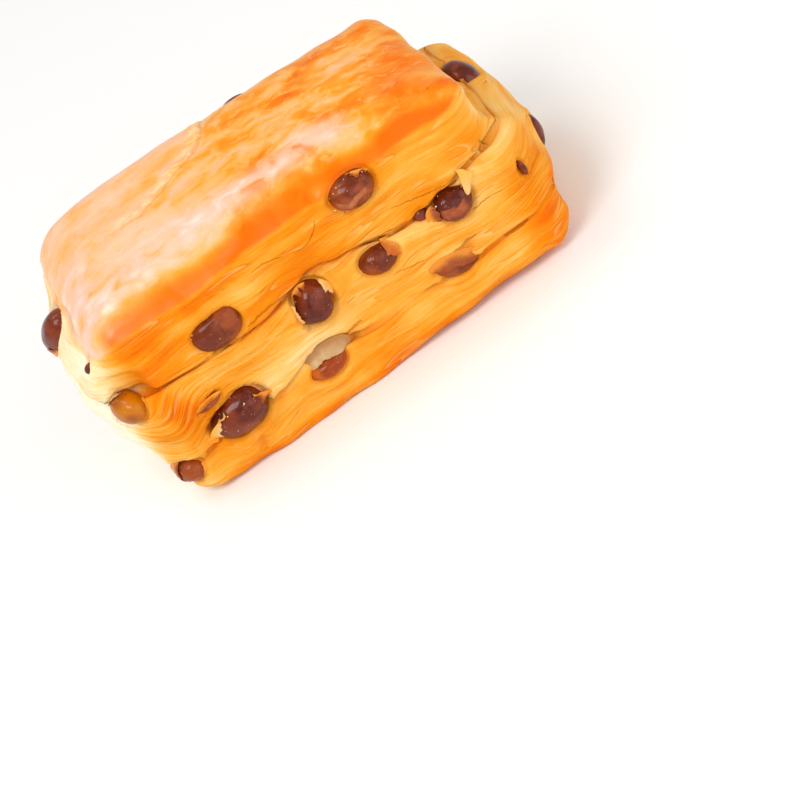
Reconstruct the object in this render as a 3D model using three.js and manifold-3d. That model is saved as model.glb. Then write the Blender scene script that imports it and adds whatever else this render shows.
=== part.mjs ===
// Red bean bread: a small oblong loaf of folded, layered dough with candied red beans set in its sides.
// Three folds lie on each other: a low one at the foot, a wide one in the middle and a domed lid.
// The ends swell past the lid's corners. Millimetres, +Z up, +X along the loaf, its front towards -Y.
// The origin lies under the middle of the loaf, on the surface that it stands on.
import * as THREE from 'three';
import { mergeVertices } from 'three/addons/utils/BufferGeometryUtils.js';
import Module from 'manifold-3d';

// ---------------------------------------------------------------- driving dimensions
const LID_LENGTH = 90; // between the lid's ends, without the swelling of the folds under it
const LOAF_DEPTH = 52; // front to back
const CORNER_RADIUS = 7; // of the plan outline
const SHOULDER_HEIGHT = 40.5; // where the lid begins to round over
const SHOULDER_RISE = 6; // height of the rounding
const SHOULDER_RING = 6; // the part of that reach that has rings of its own
const CROWN = 1.9; // rise of the top over its rounded edge
const FOOT_TUCK = 2.4; // how far the foot draws in at the bottom
const FLAT_INSET = 6; // from the foot's edge to the flat that the loaf rests on
const LIFT_HEIGHT = 6; // below this the foot's edge follows the lift
const BEAN_GAP = 0.35; // between a bean and the dough round it
const BEAN_BEND = 0.12; // how far a bean's middle bends aside, as a share of its half width

// How far each fold's end lies past the plan outline, and how much the lid narrows to the back right.
const LEFT_END = { foot: -0.8, middle: -0.4, lid: 0.6 };
const RIGHT_END = { foot: 1.7, middle: 2.2, lid: -2.9 };
const LID_TAPER = 2;
const END_STRETCH_FROM = 12; // the folds are stretched or drawn in beyond this

// How the ends swell: by how much, at which height, how far below and above it, and how far to the back.
const LEFT_SWELL = { reach: 9.3, middle: 24, below: 21, above: 17, back: 0 };
const RIGHT_SWELL = { reach: 6.4, middle: 16, below: 16, above: 20, back: 3 };

// Heights and depths of the two creases between the folds, as [place along the side, value].
const LOWER_CREASE_FRONT = [
  [-45, 8.6], [-30, 11.2], [-21, 11.2], [-11, 13.4], [0, 11.3], [30, 10.6], [45, 11.8],
];
const UPPER_CREASE_FRONT = [
  [-45, 28.4], [-27, 28], [-14, 26.7], [-1, 29.8], [5, 28.2], [20, 26], [40, 30.4], [45, 30.6],
];
const LOWER_DEPTH_FRONT = [[-45, 1.8], [-36, 3.2], [-12, 1], [-4, 2.6], [6, 0.5], [20, 1.8], [45, 1]];
const UPPER_DEPTH_FRONT = [[-45, 3], [-26, 1], [-4, 3.8], [16, 1.8], [26, 2.6], [33, 1.2], [45, 1.6]];
const LOWER_CREASE_LEFT = [[-26, 8.6], [10, 11], [26, 10]];
const UPPER_CREASE_LEFT = [[-26, 28.4], [8, 30.5], [26, 28.5]];
const LOWER_CREASE_RIGHT = [[-26, 11.8], [-5, 13], [12, 10.5], [26, 11.8]];
const UPPER_CREASE_RIGHT = [[-26, 30.6], [10, 32], [26, 30.6]];
// Along the loaf: how far the lid's rounding reaches inwards, how much higher the top lies, and how far
// the foot's edge lifts off the table.
const SHOULDER_RUN = [[-45, 10], [-15, 13], [45, 14]];
const TOP_TILT = [[-45, 2], [-30, 3.2], [-14, 2.3], [12, 1.1], [24, -0.7], [36, -3.2], [45, -6]];
const FOOT_LIFT = [[-45, 1.6], [-34, 0.4], [-20, 0], [4, 0], [14, 1.2], [45, 1.6]];

// Mesh steps: along the front and back, along the ends, and up each fold.
const STEPS = { front: 36, end: 18, foot: 6, middle: 7, lid: 6, shoulder: 3 };
const BEAN_STEPS = { round: 8, along: 6 };

// ---------------------------------------------------------------- materials
const crust = new THREE.MeshStandardMaterial({ color: 0xf0982c, roughness: 0.45, metalness: 0 });
const beanColours = {
  dark: new THREE.MeshStandardMaterial({ color: 0x451913, roughness: 0.25, metalness: 0 }),
  brown: new THREE.MeshStandardMaterial({ color: 0x6e2d18, roughness: 0.3, metalness: 0 }),
  amber: new THREE.MeshStandardMaterial({ color: 0xb86a12, roughness: 0.3, metalness: 0 }),
};

// ---------------------------------------------------------------- the beans
// side: the face it shows in. along: place on that face (x on front and back, y on the ends).
// up: height. size: length, width and thickness. turn: of its length from level, in degrees.
// sunk: how far its middle lies under the face.
const BEANS = [
  { side: 'front', along: 14.3, up: 39.9, size: [10, 7.4, 7], turn: 3, sunk: 1.2, look: 'brown' },
  { side: 'front', along: 28.3, up: 24.3, size: [8.4, 7.4, 6.6], turn: -4, sunk: 0.8, look: 'dark' },
  { side: 'front', along: 22.6, up: 26, size: [3.2, 2.8, 2.6], turn: 20, sunk: 0.3, look: 'dark' },
  { side: 'front', along: 11.4, up: 22.9, size: [9.4, 6.6, 6.4], turn: 4, sunk: 1.4, look: 'brown' },
  { side: 'front', along: -4.3, up: 23.4, size: [9.6, 8.2, 8.4], turn: 62, sunk: 0.9, look: 'dark' },
  { side: 'front', along: -22.3, up: 32, size: [11.2, 8, 7], turn: 6, sunk: 1.2, look: 'brown' },
  { side: 'front', along: -28.8, up: 12, size: [13, 11, 9.2], turn: 14, sunk: 1.5, look: 'dark' },
  { side: 'front', along: 22.6, up: 11.6, size: [9.6, 4.6, 5.4], turn: -18, sunk: 1.3, look: 'brown' },
  { side: 'front', along: -8.9, up: 10, size: [9, 4.4, 5], turn: 3, sunk: 1.2, look: 'brown' },
  { side: 'front', along: -32.6, up: 19.8, size: [6, 1.7, 3.4], turn: 8, sunk: 0.5, look: 'brown' },
  { side: 'front', along: -43.5, up: 7.8, size: [6.8, 5.6, 5.6], turn: -12, sunk: 1.2, look: 'brown' },
  { side: 'front', along: 41.8, up: 21.4, size: [4, 1.1, 2.4], turn: -88, sunk: 0.3, look: 'dark' },
  { side: 'left', along: -22, up: 26.8, size: [9.2, 6.8, 6.4], turn: -10, sunk: 1, look: 'amber' },
  { side: 'left', along: 6.4, up: 34.4, size: [12.4, 8.4, 8], turn: 58, sunk: 1.2, look: 'dark' },
  { side: 'left', along: -18, up: 36.8, size: [3.4, 1.2, 2.4], turn: 70, sunk: 0.3, look: 'dark' },
  { side: 'left', along: 6, up: 21.5, size: [9, 6.8, 6.4], turn: 30, sunk: 2.4, look: 'dark' },
  { side: 'left', along: -6.2, up: 9.4, size: [8, 5.4, 5.6], turn: -15, sunk: 1, look: 'brown' },
  { side: 'left', along: 16.5, up: 17.5, size: [9.4, 6.6, 6.4], turn: 75, sunk: 1.2, look: 'brown' },
  { side: 'right', along: 3, up: 31, size: [10.4, 8, 7.4], turn: 12, sunk: 2.4, look: 'dark' },
  { side: 'right', along: -9.3, up: 16.8, size: [9.4, 6, 6.4], turn: 76, sunk: 1.9, look: 'dark' },
  { side: 'right', along: 15, up: 12.5, size: [9, 6.4, 5.8], turn: -24, sunk: 1.8, look: 'brown' },
  { side: 'back', along: 6.2, up: 41.8, size: [8.6, 5.6, 6.2], turn: 2, sunk: 1.7, look: 'dark' },
  { side: 'back', along: -35.5, up: 35, size: [10.2, 7, 6.8], turn: 14, sunk: 1.2, look: 'dark' },
  { side: 'back', along: -20, up: 21, size: [10.6, 7.8, 7.2], turn: -20, sunk: 1.5, look: 'brown' },
  { side: 'back', along: -11, up: 36, size: [8.4, 6.8, 6.2], turn: 50, sunk: 1, look: 'dark' },
  { side: 'back', along: 1.5, up: 12.2, size: [11, 8, 7.4], turn: 5, sunk: 1.6, look: 'dark' },
  { side: 'back', along: 14.5, up: 26.6, size: [9.4, 6.2, 6], turn: -10, sunk: 1.1, look: 'amber' },
  { side: 'back', along: 27.5, up: 17.5, size: [9.8, 7.2, 7], turn: 32, sunk: 1.3, look: 'brown' },
  { side: 'back', along: 36.5, up: 34.5, size: [8.8, 7, 6.6], turn: -8, sunk: 1, look: 'dark' },
  { side: 'back', along: -34, up: 9, size: [7.2, 4.6, 5], turn: 12, sunk: 1, look: 'brown' },
];

// ---------------------------------------------------------------- helpers
const HALF_LENGTH = LID_LENGTH / 2;
const HALF_DEPTH = LOAF_DEPTH / 2;
const degrees = Math.PI / 180;

const clamp = (value, low, high) => Math.min(Math.max(value, low), high);

/** Smooth step from 0 to 1. */
function ease(t) {
  const s = clamp(t, 0, 1);
  return s * s * (3 - 2 * s);
}

/** The value of a smooth curve through [place, value] knots. */
function through(place, knots) {
  let i = 0;
  while (i < knots.length - 2 && place >= knots[i + 1][0]) i += 1;
  const [start, low] = knots[i];
  const [end, high] = knots[i + 1];
  return low + (high - low) * ease((place - start) / (end - start));
}

// ---------------------------------------------------------------- plan outline
/** Points of the rounded plan outline with their outward normals, from the front left corner round. */
function planOutline(frontSteps, endSteps) {
  const innerX = HALF_LENGTH - CORNER_RADIUS;
  const innerY = HALF_DEPTH - CORNER_RADIUS;
  const halfCorner = (CORNER_RADIUS * Math.PI) / 4;
  const corners = [[-1, -1], [1, -1], [1, 1], [-1, 1]];
  const points = [];
  corners.forEach(([signX, signY], side) => {
    const steps = side % 2 === 0 ? frontSteps : endSteps;
    const straight = side % 2 === 0 ? 2 * innerX : 2 * innerY;
    const facing = (side * 0.5 - 0.5) * Math.PI; // direction of the side's normal
    const run = [Math.cos(facing + Math.PI / 2), Math.sin(facing + Math.PI / 2)];
    const [nextX, nextY] = corners[(side + 1) % 4];
    for (let step = 0; step < steps; step += 1) {
      const length = ((straight + 2 * halfCorner) * step) / steps;
      let centre = [signX * innerX, signY * innerY];
      let angle = facing;
      if (length < halfCorner) {
        angle = facing + (length - halfCorner) / CORNER_RADIUS;
      } else if (length > halfCorner + straight) {
        centre = [nextX * innerX, nextY * innerY];
        angle = facing + (length - halfCorner - straight) / CORNER_RADIUS;
      } else {
        const along = length - halfCorner;
        centre = [centre[0] + run[0] * along, centre[1] + run[1] * along];
      }
      const nx = Math.cos(angle);
      const ny = Math.sin(angle);
      points.push({ x: centre[0] + CORNER_RADIUS * nx, y: centre[1] + CORNER_RADIUS * ny, nx, ny });
    }
  });
  return points;
}

/** Mixes a value for each side of the loaf by how far the outline faces that side. */
function bySide({ nx, ny }, front, back, left, right) {
  const parts = [Math.max(-ny, 0), Math.max(ny, 0), Math.max(-nx, 0), Math.max(nx, 0)].map((n) => n * n);
  return parts[0] * front + parts[1] * back + parts[2] * left + parts[3] * right;
}

// ---------------------------------------------------------------- form of the sides
/** Heights of the lower and upper crease at a place of the outline. */
function creases(at) {
  const { x, y } = at;
  const lower = bySide(
    at,
    through(x, LOWER_CREASE_FRONT),
    11 + 1.2 * Math.sin(x * 0.16 + 0.8),
    through(y, LOWER_CREASE_LEFT),
    through(y, LOWER_CREASE_RIGHT),
  );
  const upper = bySide(
    at,
    through(x, UPPER_CREASE_FRONT),
    28.6 + 1.3 * Math.sin(x * 0.13 + 2),
    through(y, UPPER_CREASE_LEFT),
    through(y, UPPER_CREASE_RIGHT),
  );
  return { lower, upper };
}

/** How far each fold's face stands out from the plan outline, and how deep the creases cut in. */
function faces(at) {
  const { x, nx, ny } = at;
  const corner = ease(Math.abs(2 * nx * ny));
  const hollow = 2.3 * Math.exp(-(((x - 4) / 15) ** 2)); // the middle fold lies back between its ends
  return {
    corner,
    foot: bySide(at, 0.5, 0.4 + 0.4 * Math.sin(x * 0.12 + 1), 0, 0) + 1.2 * corner,
    middle: bySide(at, 0.8 - hollow, 0.5 * Math.sin(x * 0.1 + 2), 0, 0),
    lid: bySide(at, 0.3, 0.2 + 0.4 * Math.sin(x * 0.09), 0, 0),
    lowerCut: bySide(at, through(x, LOWER_DEPTH_FRONT), 1.8 + 0.8 * Math.sin(x * 0.17), 0.8, 0.8),
    upperCut: bySide(at, through(x, UPPER_DEPTH_FRONT), 2.2 + 0.9 * Math.sin(x * 0.13 + 1), 0.7, 0.7),
  };
}

/** 0 in a crease or at an edge, 1 at the middle of a fold; a low power makes the fold's face broad. */
function plump(t, power) {
  return Math.sqrt(Math.max(1 - (2 * t - 1) ** 2, 0)) ** power;
}

/** How far the side at a height stands out along the outline's normal. */
function sideOffset(at, height) {
  const { lower, upper } = creases(at);
  const face = faces(at);
  if (height <= lower) {
    const t = height / lower;
    const cut = t < 0.5 ? FOOT_TUCK : face.lowerCut;
    return face.foot - cut * (1 - plump(t, 0.6));
  }
  if (height <= upper) {
    const t = (height - lower) / (upper - lower);
    const cut = t < 0.5 ? face.lowerCut + face.middle - face.foot : face.upperCut;
    return face.middle - cut * (1 - plump(t, 0.55));
  }
  const t = clamp((height - upper) / (SHOULDER_HEIGHT - upper), 0, 1);
  const cut = face.upperCut + face.lid - face.middle;
  const drawnIn = face.corner * (at.nx < 0 ? 4 : 1.5) * (1 - t) ** 1.4;
  return face.lid - cut * (1 - plump(t / 2, 0.5)) - drawnIn;
}

/** How far an end swells outwards along X at a height. */
function endSwell({ y, nx }, height) {
  const { reach, middle, below, above, back } = nx < 0 ? LEFT_SWELL : RIGHT_SWELL;
  const t = (height - middle) / (height < middle ? below : above);
  const profile = Math.max(1 - t * t, 0) ** 1.2;
  const across = Math.max(1 - ((y - back) / (HALF_DEPTH + back)) ** 2, 0) ** 0.8;
  return Math.sign(nx) * Math.abs(nx) ** 1.5 * reach * profile * across;
}

/** How far a fold's end is stretched or drawn in along X; the folds blend over their creases. */
function endStretch({ x, y, nx, ny }, height) {
  const { foot, middle, lid } = x < 0 ? LEFT_END : RIGHT_END;
  const { lower, upper } = creases({ x, y, nx, ny });
  const taper = x < 0 ? 0 : (LID_TAPER * y) / HALF_DEPTH;
  const toMiddle = ease((height - lower) / 3 + 0.5);
  const toLid = ease((height - upper) / 5 + 0.5);
  const underLid = THREE.MathUtils.lerp(foot, middle, toMiddle);
  const stretch = THREE.MathUtils.lerp(underLid, lid - taper, toLid);
  const beyond = (Math.abs(x) - END_STRETCH_FROM) / (HALF_LENGTH - END_STRETCH_FROM);
  return Math.sign(x) * stretch * ease(beyond);
}

/** Soft ripples of the dough, so that no face is flat. */
function ripple(x, y, z) {
  const long = 0.22 * Math.sin(0.31 * x + 0.5 * z + 0.4 * y);
  const short = 0.16 * Math.sin(0.55 * x - 0.37 * z - 0.3 * y + 1.3);
  return long + short;
}

/** A point of the side at a height, before the foot's lift. */
function sidePoint(at, height) {
  const offset = sideOffset(at, height) + ripple(at.x, at.y, height);
  const shift = endSwell(at, height) + endStretch(at, height);
  return [at.x + at.nx * offset + shift, at.y + at.ny * offset, height];
}

/** How far a place of the plan lies inside the outline. */
function insideBy(x, y) {
  const beyondX = Math.abs(x) - (HALF_LENGTH - CORNER_RADIUS);
  const beyondY = Math.abs(y) - (HALF_DEPTH - CORNER_RADIUS);
  const outside = Math.hypot(Math.max(beyondX, 0), Math.max(beyondY, 0));
  return CORNER_RADIUS - outside - Math.min(Math.max(beyondX, beyondY), 0);
}

/** Height of the lid's top over a place of the plan; it leans up to the back left. */
function topHeight(x, y) {
  const u = clamp(x / HALF_LENGTH, -1, 1);
  const v = clamp(y / HALF_DEPTH, -1, 1);
  const reach = clamp(1 - insideBy(x, y) / through(x, SHOULDER_RUN), 0, 1);
  const shoulder = SHOULDER_HEIGHT + SHOULDER_RISE * Math.sqrt(1 - reach * reach);
  const dome = CROWN * (1 - u ** 4) * (1 - v ** 2);
  const tilt = through(x, TOP_TILT) * (0.55 + 0.45 * v) * (1 - v ** 6) * (1 - u ** 6);
  return shoulder + dome + tilt;
}

// ---------------------------------------------------------------- mesh of the loaf
/** The rings of points from the foot's edge to the end of the shoulder. */
function sideRings(outline) {
  const rings = [];
  const addRing = (heightAt) => {
    rings.push(outline.map((at) => {
      const height = heightAt(at);
      const [x, y] = sidePoint(at, height);
      const lift = through(at.x, FOOT_LIFT) * ease(1 - height / LIFT_HEIGHT);
      return [x, y, height + lift];
    }));
  };
  const round = (t) => 0.5 - 0.5 * Math.cos(Math.PI * t);
  for (let i = 0; i <= STEPS.foot; i += 1) {
    addRing((at) => creases(at).lower * round(i / STEPS.foot));
  }
  for (let i = 1; i <= STEPS.middle; i += 1) {
    addRing((at) => THREE.MathUtils.lerp(creases(at).lower, creases(at).upper, round(i / STEPS.middle)));
  }
  for (let i = 1; i <= STEPS.lid; i += 1) {
    const t = 1 - Math.cos((0.5 * Math.PI * i) / STEPS.lid);
    addRing((at) => THREE.MathUtils.lerp(creases(at).upper, SHOULDER_HEIGHT, t));
  }
  for (let i = 1; i <= STEPS.shoulder; i += 1) {
    rings.push(shoulderRing(outline, i / STEPS.shoulder));
  }
  return rings;
}

/** A ring of the lid's rounded shoulder: t is 0 at its outer edge and 1 where the top's grid begins. */
function shoulderRing(outline, t) {
  const inward = SHOULDER_RING * t ** 1.8;
  return outline.map((at) => {
    const [sideX, sideY] = sidePoint(at, SHOULDER_HEIGHT);
    const x = sideX - at.nx * inward;
    const y = sideY - at.ny * inward;
    // the outer edge keeps the plan outline's own height, and the ring inside follows the top
    const outsideX = (sideX - at.x) * (1 - t);
    const outsideY = (sideY - at.y) * (1 - t);
    return [x, y, topHeight(x - outsideX, y - outsideY)];
  });
}

/** The four sides of a closed ring of points: front and back along X, left and right along Y. */
function ringSides(ring, frontSteps, endSteps) {
  const closed = [...ring, ring[0]];
  const backEnd = 2 * frontSteps + endSteps;
  return {
    front: closed.slice(0, frontSteps + 1),
    right: closed.slice(frontSteps, frontSteps + endSteps + 1),
    back: closed.slice(frontSteps + endSteps, backEnd + 1).reverse(),
    left: closed.slice(backEnd).reverse(),
  };
}

/** A grid of points over a closed ring: its rim is the ring, its inside is blended from the four sides. */
function gridInside(ring, frontSteps, endSteps, height) {
  const { front, right, back, left } = ringSides(ring, frontSteps, endSteps);
  const blend = (i, j, k) => {
    const u = i / frontSteps;
    const v = j / endSteps;
    const across = (1 - v) * front[i][k] + v * back[i][k] + (1 - u) * left[j][k] + u * right[j][k];
    const near = (1 - u) * front[0][k] + u * front[frontSteps][k];
    const far = (1 - u) * back[0][k] + u * back[frontSteps][k];
    return across - (1 - v) * near - v * far;
  };
  const point = (i, j) => {
    if (j === 0) return front[i];
    if (j === endSteps) return back[i];
    if (i === 0) return left[j];
    if (i === frontSteps) return right[j];
    const x = blend(i, j, 0);
    const y = blend(i, j, 1);
    return [x, y, height(x, y)];
  };
  return left.map((_, j) => front.map((__, i) => point(i, j)));
}

/** The whole loaf as one closed mesh, before the beans' hollows are cut. */
function loafGeometry() {
  const outline = planOutline(STEPS.front, STEPS.end);
  const corners = [];
  const triangle = (a, b, c) => corners.push(...a, ...b, ...c);
  const quad = (a, b, c, d) => {
    triangle(a, b, c);
    triangle(a, c, d);
  };

  const rings = sideRings(outline);
  for (let r = 0; r + 1 < rings.length; r += 1) {
    for (let i = 0; i < outline.length; i += 1) {
      const next = (i + 1) % outline.length;
      quad(rings[r][i], rings[r][next], rings[r + 1][next], rings[r + 1][i]);
    }
  }

  // the top: half as many steps, inside the last ring
  cap(rings[rings.length - 1], triangle, quad, topHeight);

  // the underside: the flat lies inside the foot's edge
  const foot = rings[0];
  const insetBy = (value, normal) => value - normal * FLAT_INSET;
  const flatRing = outline.map(({ nx, ny }, i) => [insetBy(foot[i][0], nx), insetBy(foot[i][1], ny), 0]);
  const down = (a, b, c) => triangle(a, c, b);
  const downQuad = (a, b, c, d) => quad(a, d, c, b);
  for (let i = 0; i < outline.length; i += 1) {
    const next = (i + 1) % outline.length;
    quad(flatRing[i], flatRing[next], foot[next], foot[i]);
  }
  cap(flatRing, down, downQuad, () => 0);

  return closedGeometry(corners);
}

/** Closes a ring with a grid of half as many steps; height gives each inner point's Z. */
function cap(ring, triangle, quad, height) {
  const frontSteps = STEPS.front / 2;
  const endSteps = STEPS.end / 2;
  const half = ring.filter((_, i) => i % 2 === 0);
  const grid = gridInside(half, frontSteps, endSteps, height);
  for (let j = 0; j < endSteps; j += 1) {
    for (let i = 0; i < frontSteps; i += 1) {
      quad(grid[j][i], grid[j][i + 1], grid[j + 1][i + 1], grid[j + 1][i]);
    }
  }
  // every second point of the ring is joined to the grid by a triangle of its own
  for (let k = 0; k < ring.length; k += 2) {
    triangle(ring[k], ring[k + 1], ring[(k + 2) % ring.length]);
  }
}

/** An indexed geometry from loose triangle corners. */
function closedGeometry(corners) {
  const geometry = new THREE.BufferGeometry();
  geometry.setAttribute('position', new THREE.Float32BufferAttribute(corners, 3));
  return mergeVertices(geometry, 1e-4);
}

// ---------------------------------------------------------------- beans
/** The outline's place for a bean, on its side of the loaf or round that side's corner. */
function outlineAt({ side, along }) {
  const atEnd = side === 'left' || side === 'right';
  const away = side === 'front' || side === 'left' ? -1 : 1;
  const straight = (atEnd ? HALF_DEPTH : HALF_LENGTH) - CORNER_RADIUS;
  const depth = (atEnd ? HALF_LENGTH : HALF_DEPTH) - CORNER_RADIUS;
  const roundBy = clamp((Math.abs(along) - straight) / CORNER_RADIUS, 0, 1);
  const sideways = Math.sign(along) * roundBy;
  const outward = away * Math.sqrt(1 - roundBy * roundBy);
  const out = away * depth + CORNER_RADIUS * outward;
  if (atEnd) return { x: out, y: along, nx: outward, ny: sideways };
  return { x: along, y: out, nx: sideways, ny: outward };
}

/** A bean: a plump ellipsoid, bent a little like a kidney. grow widens it all round. */
function beanGeometry([length, width, thickness], grow) {
  const geometry = new THREE.SphereGeometry(1, BEAN_STEPS.round, BEAN_STEPS.along);
  geometry.deleteAttribute('normal');
  geometry.deleteAttribute('uv');
  geometry.rotateZ(Math.PI / 2); // poles at the bean's two ends
  const position = geometry.attributes.position;
  for (let i = 0; i < position.count; i += 1) {
    const x = position.getX(i);
    position.setY(i, position.getY(i) - BEAN_BEND * (1 - x * x) + BEAN_BEND / 2);
  }
  geometry.scale(length / 2 + grow, width / 2 + grow, thickness / 2 + grow);
  return mergeVertices(geometry, 1e-4);
}

/** Where a bean lies: X along its length, Z out of the loaf. */
function beanPlacement(bean) {
  const at = outlineAt(bean);
  const step = 0.6;
  const [x, y] = sidePoint(at, bean.up);
  const low = sidePoint(at, bean.up - step);
  const high = sidePoint(at, bean.up + step);
  const slope = clamp(((high[0] - low[0]) * at.nx + (high[1] - low[1]) * at.ny) / (2 * step), -0.8, 0.8);
  const out = new THREE.Vector3(at.nx, at.ny, -slope).normalize();
  const level = new THREE.Vector3(-at.ny, at.nx, 0);
  const upward = new THREE.Vector3().crossVectors(out, level);
  const angle = bean.turn * degrees;
  const lengthwise = level.clone().multiplyScalar(Math.cos(angle)).addScaledVector(upward, Math.sin(angle));
  const widthwise = new THREE.Vector3().crossVectors(out, lengthwise);
  const placement = new THREE.Matrix4().makeBasis(lengthwise, widthwise, out);
  return placement.setPosition(x - out.x * bean.sunk, y - out.y * bean.sunk, bean.up - out.z * bean.sunk);
}

// ---------------------------------------------------------------- solids
const wasm = await Module();
wasm.setup();

function toSolid(geometry) {
  const vertProperties = new Float32Array(geometry.attributes.position.array);
  const triVerts = new Uint32Array(geometry.index.array);
  return new wasm.Manifold(new wasm.Mesh({ numProp: 3, vertProperties, triVerts }));
}

function toGeometry(solid) {
  const { vertProperties, triVerts } = solid.getMesh();
  const geometry = new THREE.BufferGeometry();
  geometry.setAttribute('position', new THREE.Float32BufferAttribute(vertProperties, 3));
  geometry.setIndex(new THREE.Uint32BufferAttribute(triVerts, 1));
  return geometry;
}

/** The loaf with a hollow round each bean. */
function loafWithHollows() {
  let loaf = toSolid(loafGeometry());
  for (const bean of BEANS) {
    const hollow = beanGeometry(bean.size, BEAN_GAP).applyMatrix4(beanPlacement(bean));
    loaf = loaf.subtract(toSolid(hollow));
  }
  return toGeometry(loaf);
}

function addPiece(group, name, geometry, material) {
  const mesh = new THREE.Mesh(geometry, material);
  mesh.name = name;
  group.add(mesh);
  return mesh;
}

const group = new THREE.Group();
addPiece(group, 'bread', loafWithHollows(), crust);
BEANS.forEach((bean, i) => {
  const name = `bean_${String(i + 1).padStart(2, '0')}`;
  const mesh = addPiece(group, name, beanGeometry(bean.size, 0), beanColours[bean.look]);
  mesh.applyMatrix4(beanPlacement(bean));
});

// the origin moves to the middle of the whole loaf, beans and all
const middle = new THREE.Box3().setFromObject(group, true).getCenter(new THREE.Vector3());
group.position.set(-middle.x, -middle.y, 0);
group.updateMatrixWorld(true);

export default group;
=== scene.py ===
import math
from collections import namedtuple

import bpy
import numpy as np
from mathutils import Matrix, Vector


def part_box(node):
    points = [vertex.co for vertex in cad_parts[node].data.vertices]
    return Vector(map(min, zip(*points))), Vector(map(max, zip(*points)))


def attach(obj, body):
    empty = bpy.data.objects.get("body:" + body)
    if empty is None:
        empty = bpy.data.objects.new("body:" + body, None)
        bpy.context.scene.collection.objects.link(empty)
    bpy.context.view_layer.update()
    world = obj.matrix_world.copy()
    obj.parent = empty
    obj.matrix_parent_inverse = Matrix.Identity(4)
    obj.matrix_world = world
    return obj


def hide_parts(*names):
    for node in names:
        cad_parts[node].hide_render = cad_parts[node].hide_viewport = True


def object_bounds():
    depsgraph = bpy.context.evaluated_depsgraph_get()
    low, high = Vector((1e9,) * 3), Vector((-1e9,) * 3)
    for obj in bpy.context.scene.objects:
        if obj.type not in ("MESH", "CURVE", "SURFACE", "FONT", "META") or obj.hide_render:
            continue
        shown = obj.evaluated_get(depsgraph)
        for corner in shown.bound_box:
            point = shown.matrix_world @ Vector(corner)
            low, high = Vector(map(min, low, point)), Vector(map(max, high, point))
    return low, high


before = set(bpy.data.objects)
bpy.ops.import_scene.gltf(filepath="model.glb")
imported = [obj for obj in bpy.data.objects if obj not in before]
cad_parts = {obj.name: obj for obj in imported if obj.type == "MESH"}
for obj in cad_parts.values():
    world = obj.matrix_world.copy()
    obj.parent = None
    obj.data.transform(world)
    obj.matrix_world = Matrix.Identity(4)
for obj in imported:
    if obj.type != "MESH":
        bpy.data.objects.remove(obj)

CAD_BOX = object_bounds()
MM = 0.001

# ---------------------------------------------------------------- driving dimensions, as in the solids
HALF_LENGTH = 45.0
HALF_DEPTH = 26.0
CORNER_RADIUS = 7.0
SHOULDER_HEIGHT = 40.5
SHOULDER_RISE = 6.0
SHOULDER_RING = 6.0
CROWN = 1.9
FOOT_TUCK = 2.4
FLAT_INSET = 6.0
LIFT_HEIGHT = 6.0

LEFT_END = {"foot": -0.8, "middle": -0.4, "lid": 0.6}
RIGHT_END = {"foot": 1.7, "middle": 2.2, "lid": -2.9}
LID_TAPER = 2.0
END_STRETCH_FROM = 12.0
LEFT_SWELL = {"reach": 9.3, "middle": 24.0, "below": 21.0, "above": 17.0, "back": 0.0}
RIGHT_SWELL = {"reach": 6.4, "middle": 16.0, "below": 16.0, "above": 20.0, "back": 3.0}

# the two creases between the folds: heights and depths, as (place along the side, value)
LOWER_CREASE_FRONT = [(-45, 8.6), (-30, 11.2), (-21, 11.2), (-11, 13.4), (0, 11.3), (30, 10.6), (45, 11.8)]
UPPER_CREASE_FRONT = [
    (-45, 28.4), (-27, 28), (-14, 26.7), (-1, 29.8), (5, 28.2), (20, 26), (40, 30.4), (45, 30.6),
]
LOWER_DEPTH_FRONT = [(-45, 1.8), (-36, 3.2), (-12, 1), (-4, 2.6), (6, 0.5), (20, 1.8), (45, 1)]
UPPER_DEPTH_FRONT = [(-45, 3), (-26, 1), (-4, 3.8), (16, 1.8), (26, 2.6), (33, 1.2), (45, 1.6)]
LOWER_CREASE_LEFT = [(-26, 8.6), (10, 11), (26, 10)]
UPPER_CREASE_LEFT = [(-26, 28.4), (8, 30.5), (26, 28.5)]
LOWER_CREASE_RIGHT = [(-26, 11.8), (-5, 13), (12, 10.5), (26, 11.8)]
UPPER_CREASE_RIGHT = [(-26, 30.6), (10, 32), (26, 30.6)]
SHOULDER_RUN = [(-45, 10), (-15, 13), (45, 14)]
TOP_TILT = [(-45, 2), (-30, 3.2), (-14, 2.3), (12, 1.1), (24, -0.7), (36, -3.2), (45, -6)]
FOOT_LIFT = [(-45, 1.6), (-34, 0.4), (-20, 0), (4, 0), (14, 1.2), (45, 1.6)]

# low relief of the dough: how far layers, strands and lumps stand out, the cuts along the two creases,
# how far the lid's lower edge hangs, and the height of the crust's edge at the front, back, left and right
LAYER_RELIEF = 0.34
STRAND_RELIEF = 0.16
LUMP_RELIEF = 0.3
UPPER_CUT = 1.1
LOWER_CUT = 0.8
LID_SAG = 0.9
CRUST_EDGE = (41.9, 42.2, 39.4, 42.4)

# mesh steps of the loaf
FRONT_STEPS = 240
END_STEPS = 120
FOOT_ROWS = 26
MIDDLE_ROWS = 38
LID_ROWS = 30
SHOULDER_ROWS = 14


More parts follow.
